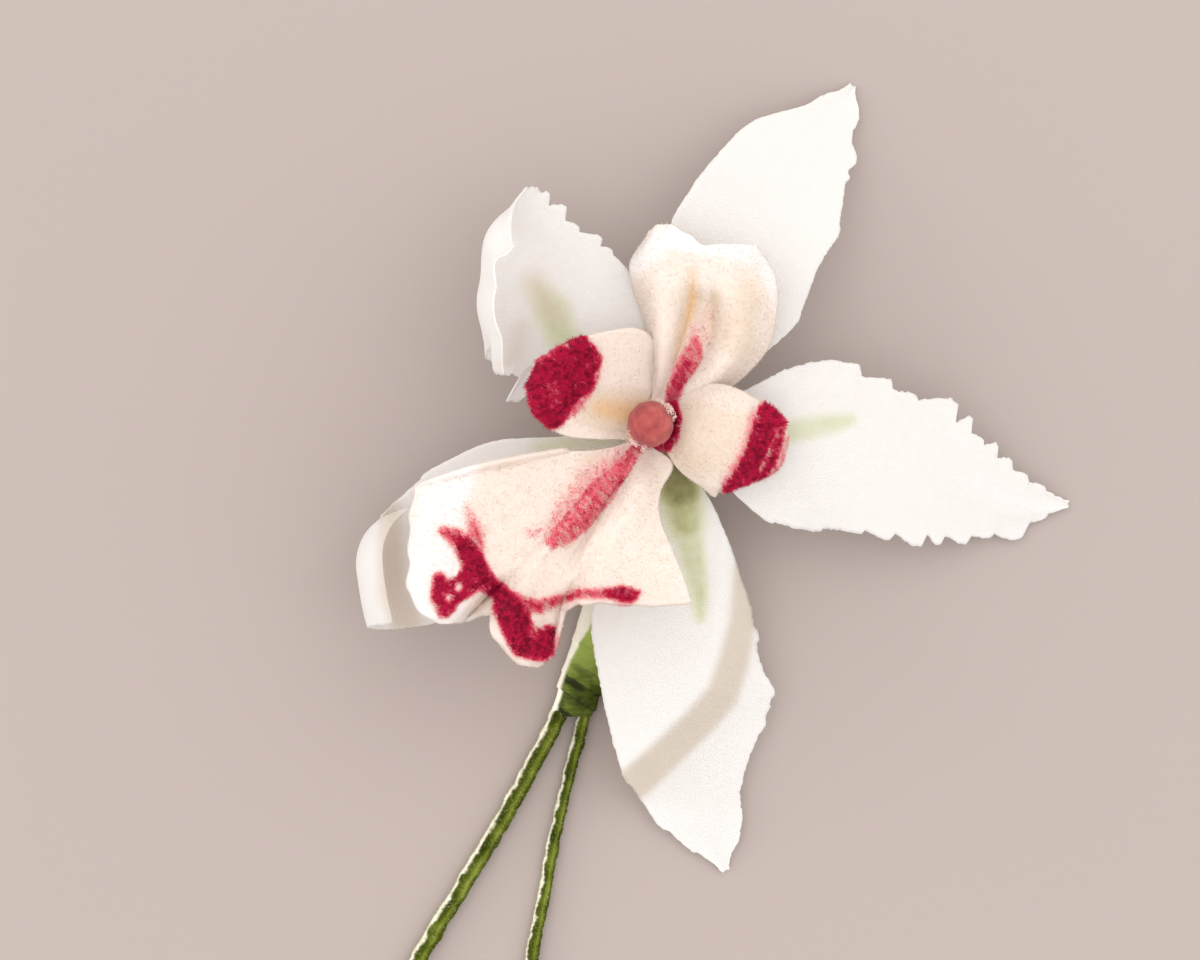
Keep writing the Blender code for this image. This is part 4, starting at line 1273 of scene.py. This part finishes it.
def fuzz_tree(finish):
    """Loose fibre ends that stand off a surface, but not under it."""
    sizes = {
        "Density": FUZZ_DENSITY / MM**2,
        "Fibre Length": FUZZ_LENGTH * MM,
        "Fibre Radius": FUZZ_RADIUS * MM,
        "Seed": 6,
    }
    tree, given, result = new_tree("fuzz", sizes)
    upward = dotted(tree, first_out(tree, "GeometryNodeInputNormal"), (0.0, 0.0, 1.0))
    # More fuzz grows where rim light is painted
    growth = maths(tree, "MULTIPLY", given["Density"], maths(tree, "ADD", named(tree, "painted_rim_light"), 0.3))
    growth = maths(tree, "MULTIPLY", growth, maths(tree, "GREATER_THAN", upward, UNDERSIDE))
    points, normal = spots_on(tree, given, growth)
    turned = turned_to(tree, vector_maths(tree, "ADD", normal, random_vector(tree, -0.7, 0.7)))
    fibre = fibre_shape(tree, given["Fibre Radius"], given["Fibre Length"])
    fuzz = planted(tree, points, fibre, turned, random_value(tree, 0.5, 1.2, 9))
    return end_tree(tree, fuzz, finish, result)


def curl_tree(finish):
    """Small curls of fluff, one at each point, turned every way."""
    sizes = {"Curl Radius": CURL_RADIUS * MM, "Fibre Radius": CURL_FIBRE_RADIUS * MM, "Seed": 2}
    tree, given, result = new_tree("curls", sizes)
    bend = {"Resolution": 12, "Radius": given["Curl Radius"], "Sweep Angle": 4.9}
    arc = first_out(tree, "GeometryNodeCurveArc", bend)
    fibre_round = {"Resolution": 4, "Radius": given["Fibre Radius"]}
    curl = tube_shape(tree, arc, first_out(tree, "GeometryNodeCurvePrimitiveCircle", fibre_round))
    turns = random_vector(tree, 0.0, 6.28, given["Seed"])
    curls = planted(tree, given["Geometry"], curl, turns, random_value(tree, 0.6, 1.2, 4))
    return end_tree(tree, curls, finish, result)


def winding_tree(finish):
    """Thread wound closely round a wire's route, with knobs in it and a seam along the stem."""
    tree, given, result = new_tree(
        "wound_thread",
        {
            "Stem Radius": LONG_STEM_RADIUS * MM,
            "Pitch": THREAD_PITCH * MM,
            "Groove": THREAD_GROOVE * MM,
            "Knob Height": KNOB_HEIGHT * MM,
            "Sway": STEM_SWAY * MM,
            "Seam Height": SEAM_HEIGHT * MM,
        },
    )
    route = first_out(tree, "GeometryNodeMeshToCurve", {0: given["Geometry"]})
    place = first_out(tree, "GeometryNodeInputPosition")
    normal = first_out(tree, "GeometryNodeInputNormal")
    sway = noise(tree, place, 260.0, 1.0, output=1)
    sway = vector_maths(tree, "SUBTRACT", sway, (0.5, 0.5, 0.5))
    sway = scaled(tree, vector_maths(tree, "MULTIPLY", sway, (1.0, 0.0, 0.3)), given["Sway"])
    route = first_out(tree, "GeometryNodeSetPosition", {"Geometry": route, "Offset": sway})
    step = maths(tree, "DIVIDE", given["Pitch"], 5.0)
    inputs = {"Curve": route, "Length": step}
    route = first_out(tree, "GeometryNodeResampleCurve", inputs, mode="LENGTH")
    way = add_node(tree, "GeometryNodeSplineParameter").outputs
    route = marked(tree, route, "along", way["Length"])
    inputs = {"Resolution": 26, "Radius": given["Stem Radius"]}
    ring = first_out(tree, "GeometryNodeCurvePrimitiveCircle", inputs)
    stem = tube_shape(tree, route, marked(tree, ring, "around", way["Factor"]))

    turns = maths(tree, "DIVIDE", named(tree, "along"), given["Pitch"])
    turns = maths(tree, "ADD", turns, named(tree, "around"))
    round_thread = maths(tree, "ABSOLUTE", maths(tree, "SINE", maths(tree, "MULTIPLY", turns, math.pi)))
    # The seam's ridge, and the highlight painted along it in the thread's material, lie on the side turned
    # away from the low left lamp
    facing = dotted(tree, normal, LOW_LAMP_SIDE)
    off_seam = maths(tree, "MULTIPLY", maths(tree, "ADD", facing, 0.34), 3.6)
    seam_and_highlight = maths(tree, "EXPONENT", maths(tree, "MULTIPLY", maths(tree, "POWER", off_seam, 2.0), -1.0))
    stem = marked(tree, stem, "seam_and_highlight", seam_and_highlight)
    knobs = centred(tree, noise(tree, place, 750.0, 1.0))
    rise = maths(tree, "MULTIPLY", maths(tree, "SUBTRACT", round_thread, 1.0), given["Groove"])
    rise = maths(tree, "MULTIPLY_ADD", knobs, given["Knob Height"], rise)
    rise = maths(tree, "MULTIPLY_ADD", seam_and_highlight, given["Seam Height"], rise)
    inputs = {"Geometry": stem, "Offset": scaled(tree, normal, rise)}
    stem = first_out(tree, "GeometryNodeSetPosition", inputs)
    # Rim light painted pale on the side towards the low left lamp, with a ragged inner edge
    ragged = centred(tree, noise(tree, place, 700.0, 1.0))
    ragged = maths(tree, "MULTIPLY_ADD", ragged, 0.5, facing)
    painted_rim_light = maths(tree, "MULTIPLY", maths(tree, "SUBTRACT", ragged, 1.0 - RIM_LIGHT_SHARE), 4.5)
    stem = marked(tree, stem, "painted_rim_light", clamped(tree, painted_rim_light))
    stem = first_out(tree, "GeometryNodeRealizeInstances", {0: stem})
    return end_tree(tree, stem, finish, result)


def make_petals(silk):
    """The five petals, each a sheet of silk cut to its outline and gathered at its claw."""
    for seed, (name, spec) in enumerate(PETALS.items()):
        grid, flat = petal_grid(spec, seed)
        places = seen(grid)
        if name == "lower_sepal":
            grid = folded(grid)
        values = {
            "dye": stroke_strength(GREEN[name], places),
            # How green the silk is, and where shade is painted along its folds
            "painted_fold_shade": stroke_strength(FOLD_SHADE_STROKES.get(name, ()), places),
        }
        values = {key: np.stack([value, value]) for key, value in values.items()}
        mesh = cloth_mesh(name + "_silk", grid, SILK_THICK, flat, values)
        petal = fitted(new_object(name + "_silk", mesh, silk), "silk", name)


# How each lobe's points are found, and how finely it is drawn, along and across
LOBES = {
    "upper_lobe": (upper_lobe_points, 84, 84),
    "left_lobe": (lambda share, side: lobe_points(LEFT_LOBE, share, side), 72, 56),
    "right_lobe": (lambda share, side: lobe_points(RIGHT_LOBE, share, side), 84, 56),
    "front_lobe": (front_lobe_points, 132, 150),
    "lip_hub": (hub_points, 10, 40),
}
STRAY_HAIRS = {
    "Density": HAIR_DENSITY / MM**2,
    "Fibre Length": HAIR_LENGTH * MM,
    "Fibre Radius": HAIR_RADIUS * MM,
    "Lean": HAIR_LEAN,
}


def make_lip(velvet, shades):
    """The velvet of each lobe, joined in one cloth, and the pile that stands on each."""
    tree = pile_tree(shades)
    whole = bmesh.new()
    pile = []
    for seed, (name, (surface, rows, columns)) in enumerate(LOBES.items()):
        steps = np.linspace(0, 1, rows + 1), np.linspace(-1, 1, columns + 1)
        grid = surface(*np.meshgrid(*steps, indexing="ij"))
        if name == "lip_hub":
            grid = grid[:, ::-1]
        places = seen(grid)
        dye = stroke_strength(STROKES[name], places)
        warm_and_shade = stroke_strength(WARMTH_AND_SHADE[name], places, PLAIN_WARMTH)
        thin = np.full_like(dye, UNDERSIDE_SHARE)
        values = {"dye": (dye, dye), "warm_and_shade": (warm_and_shade, warm_and_shade), "pile": (np.ones_like(dye), thin)}
        mesh = cloth_mesh(name, grid, VELVET_THICK, places, values)
        short = grown("pile_" + name, mesh.copy(), tree, {"Seed": seed + 3})
        stray = grown("hair_" + name, mesh.copy(), tree, STRAY_HAIRS | {"Seed": seed + 23})
        pile += [fitted(short, "velvet"), fitted(stray, "velvet")]
        whole.from_mesh(mesh)
    mesh = mesh_of(whole, "lip_velvet")
    lip = fitted(new_object("lip_velvet", mesh, velvet), "velvet", "lip")


def make_bead(finish):
    """The bead: a round felted ball, slightly uneven."""
    bm = bmesh.new()
    bmesh.ops.create_uvsphere(bm, u_segments=64, v_segments=40, radius=1.0)
    for vert in bm.verts:
        x, y, z = vert.co
        uneven = 0.025 * math.sin(4.1 * x + 1.0) * math.sin(3.3 * y)
        uneven += 0.012 * math.sin(9 * x + 7 * y + 5 * z)
        vert.co = vert.co * (BEAD_RADIUS * (1 + uneven)) * MM
        vert.co.z += BEAD_LEVEL * MM
    fitted(new_object("bead_felt", mesh_of(bm, "bead_felt"), finish), "bead", "bead")


def make_curls(finish):
    """The fluff that is left round the bead's foot."""
    draw = random.Random(12)
    points = []
    for k in range(CURLS):
        bearing = math.radians(draw.triangular(*CURL_BEARINGS[k % len(CURL_BEARINGS)]))
        reach = draw.uniform(*CURL_REACH)
        level = BEAD_LEVEL + draw.uniform(*CURL_LEVELS)
        points.append((reach * math.cos(bearing), reach * math.sin(bearing), level))
    mesh = marked_mesh("bead_fluff", np.array(points), [], {})
    fitted(grown("bead_fluff", mesh, curl_tree(finish)), "bead")


def route_mesh(name, points):
    """A stem's route as a line of short edges, to wind thread round."""
    line = Midrib(points)
    count = int(line.length / ROUTE_STEP)
    places = line.at(np.linspace(0, 1, count + 1))[0] * MM
    mesh = bpy.data.meshes.new(name)
    mesh.from_pydata(places.tolist(), [(k, k + 1) for k in range(count)], [])
    return mesh


def make_stems(finish, fluff):
    """The two stems, and the fuzz of pale fibre ends along them."""
    tree, fuzz = winding_tree(finish), fuzz_tree(fluff)
    for name, points, radius in (
        ("long_stem", LONG_STEM, LONG_STEM_RADIUS),
        ("short_stem", SHORT_STEM, SHORT_STEM_RADIUS),
    ):
        sizes = {"Stem Radius": (radius - FUZZ_DEPTH) * MM}
        made = grown(name + "_winding", route_mesh(name, points), tree, sizes)
        halo = grown(name + "_fuzz", made.data.copy(), fuzz)
        fitted(made, "thread", name)
        fitted(halo, "thread")


def tape_sections():
    """Centre, half width, half height and level of the tape's oval at steps down the neck. It fits
    closer on the stems than the solid that it stands for, and closer still at its end."""
    shares = np.linspace(0, 1, 1200)
    long_line, short_line = (Midrib(stem).at(shares)[0] for stem in (LONG_STEM, SHORT_STEM))
    down = np.arange(TAPE_START, TAPE_END, TAPE_STEP)
    long_x, long_z = (np.interp(down, -long_line[:, 1], long_line[:, k]) for k in (0, 2))
    short_x = np.interp(down, -short_line[:, 1], short_line[:, 0])
    slack = 0.42 - 0.16 * eased(TAPE_END - 5.0, TAPE_END - 1.0, down)
    slack = slack - 0.2 * eased(TAPE_END - 1.2, TAPE_END, down)
    both = eased(*TAPE_WIDENS, down)
    left = long_x - LONG_STEM_RADIUS - slack
    left = left - TAPE_BULGE * eased(15.0, 20.0, down) * (1 - eased(25.0, 28.5, down))
    alone = long_x + LONG_STEM_RADIUS + slack
    right = (1 - both) * alone + both * (short_x + SHORT_STEM_RADIUS + slack)
    sections = (left + right) / 2, -down, (right - left) / 2, LONG_STEM_RADIUS + slack, long_z
    return (part[:, None] for part in sections)


def make_tape(finish):
    """The tape round the neck, wound on a slant so that each turn's lower edge stands proud of the
    next, with shade painted dark below the turns' edges, most on the left near the fork, and rim
    light painted pale along its left side."""
    x, y, half_width, half_height, level = tape_sections()
    angle = 2 * math.pi * (np.arange(TAPE_SIDES) + 0.5) / TAPE_SIDES
    turns = -(y + TAPE_SLANT * (half_width * np.cos(angle))) / TAPE_TURN
    turn = np.floor(turns)
    lap = turns % 1
    low = eased(23.0, 26.5, -y)
    leftward = eased(0.5, -0.5, np.cos(angle))
    strong = 0.55 + 0.45 * np.sin(turn * 4.7 + 2.0)
    # Shade painted dark just below each turn's edge, strongest on the left near the fork
    thin = 0.3 * (1 - eased(0.0, 0.16, lap)) * eased(17.0, 22.0, -y)
    fork_shade = np.maximum(thin, strong * (1 - eased(0.25, 0.6, lap)) * low * leftward)
    uneven = 0.6 + 0.4 * np.sin(turn * 2.3 + 1.0)
    proud = 0.26 * lap**1.5 * uneven * (0.45 + 0.55 * low) - 0.1
    across_stem = x + (half_width + proud) * np.cos(angle)
    height = np.maximum(level + (half_height + proud) * np.sin(angle), TAPE_LOWEST)
    rings = np.stack([across_stem, np.broadcast_to(y, height.shape), height], axis=-1)
    # Painted shade below the turns, darker low on the neck
    turn_edge_shade = np.clip(fork_shade + 0.35 * low - 0.3 * (1 - low), -0.4, 1.0)
    # Rim light painted pale along the tape's left side, wider towards its upper end
    inwards = half_width * (1 + np.cos(angle)) + 0.07 * np.sin(2.9 * y + 4 * lap)
    rim_light_reach = 0.3 + 0.9 * (1 - eased(20.0, 24.0, -y))
    values = {"turn_edge_shade": turn_edge_shade, "painted_rim_light": 1 - eased(rim_light_reach, rim_light_reach + 0.4, inwards)}
    mesh = ring_mesh("neck_tape_wrap", rings, values)
    fitted(new_object("neck_tape_wrap", mesh, finish), "tape", "neck_tape")


def make_calyx(finish):
    """The taped knob under the bloom, wound round with the same tape."""
    profile = np.array(CALYX_PROFILE)[::-1]
    shares = np.linspace(0, 1, 90)[:, None]
    known = np.linspace(0, 1, len(profile))
    radius, height = (np.interp(shares, known, profile[:, k]) for k in (0, 1))
    angle = 2 * math.pi * np.arange(96) / 96
    lap = (height / 1.7 + angle / (2 * math.pi)) % 1
    body = eased(0.0, 0.06, shares) * (1 - eased(0.94, 1.0, shares))
    reach = radius + (0.14 * lap**2 - 0.1) * body
    level = np.broadcast_to(height, reach.shape)
    rings = np.stack([reach * np.cos(angle), reach * np.sin(angle), level], axis=-1)
    # Shade painted dark below the edge of each turn
    turn_edge_shade = 0.6 * (1 - eased(0.0, 0.2, lap)) * body
    mesh = ring_mesh("calyx_wrap", rings, {"turn_edge_shade": turn_edge_shade, "painted_rim_light": np.zeros_like(turn_edge_shade)})
    fitted(new_object("calyx_wrap", mesh, finish), "tape", "calyx")


def make_camera():
    """A long lens above the bloom, looking straight down."""
    camera = bpy.data.cameras.new("camera")
    camera.sensor_width = SENSOR_WIDTH
    camera.lens = SENSOR_WIDTH * (EYE[2] - SEEN_LEVEL) / VIEW_WIDTH
    camera.clip_start, camera.clip_end = 0.05, 20.0
    obj = bpy.data.objects.new("camera", camera)
    obj.location = [value * MM for value in EYE]
    bpy.context.scene.collection.objects.link(obj)
    bpy.context.scene.camera = obj


def make_stage():
    """A plain pale floor and soft studio light, with a low light from the left and a fill."""
    bm = bmesh.new()
    bmesh.ops.create_grid(bm, x_segments=1, y_segments=1, size=3.0)
    finish = new_material("floor", FLOOR_COLOUR, 0.9, specular_ior_level=0.1)[0]
    floor = new_object("floor", mesh_of(bm, "floor"), finish)
    world = bpy.data.worlds.new("studio")
    world.use_nodes = True
    sky = world.node_tree.nodes["Background"].inputs
    sky["Color"].default_value = (*SKY_COLOUR, 1.0)
    sky["Strength"].default_value = SKY_STRENGTH
    bpy.context.scene.world = world
    for name, (bearing, height, strength, spread, colour) in SUNS.items():
        lamp = bpy.data.lights.new(name, "SUN")
        lamp.energy = strength
        lamp.angle = math.radians(spread)
        lamp.color = colour
        obj = bpy.data.objects.new(name, lamp)
        obj.rotation_euler = (math.radians(height - 90), 0, math.radians(bearing))
        bpy.context.scene.collection.objects.link(obj)


bpy.context.scene.view_settings.view_transform = "Standard"
make_camera()
make_petals(silk_material())
make_lip(
    velvet_material(),
    [
        fibre_material(name, colour, 0.85, share, specular_ior_level=0.2)
        for name, colour, share in PILE_SHADES
    ],
)
make_bead(bead_material())
make_curls(new_material("fluff", (0.88, 0.7, 0.62), 0.6)[0])
make_stems(thread_material(), fibre_material("green_fuzz", (0.8, 0.8, 0.5), 0.7, 0.4))
tape = tape_material()
make_tape(tape)
make_calyx(tape)
steel = wire_material()
for wire_name in ("bloom_wire", "short_wire"):
    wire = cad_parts[wire_name]
    wire.data.materials.clear()
    wire.data.materials.append(steel)
make_stage()
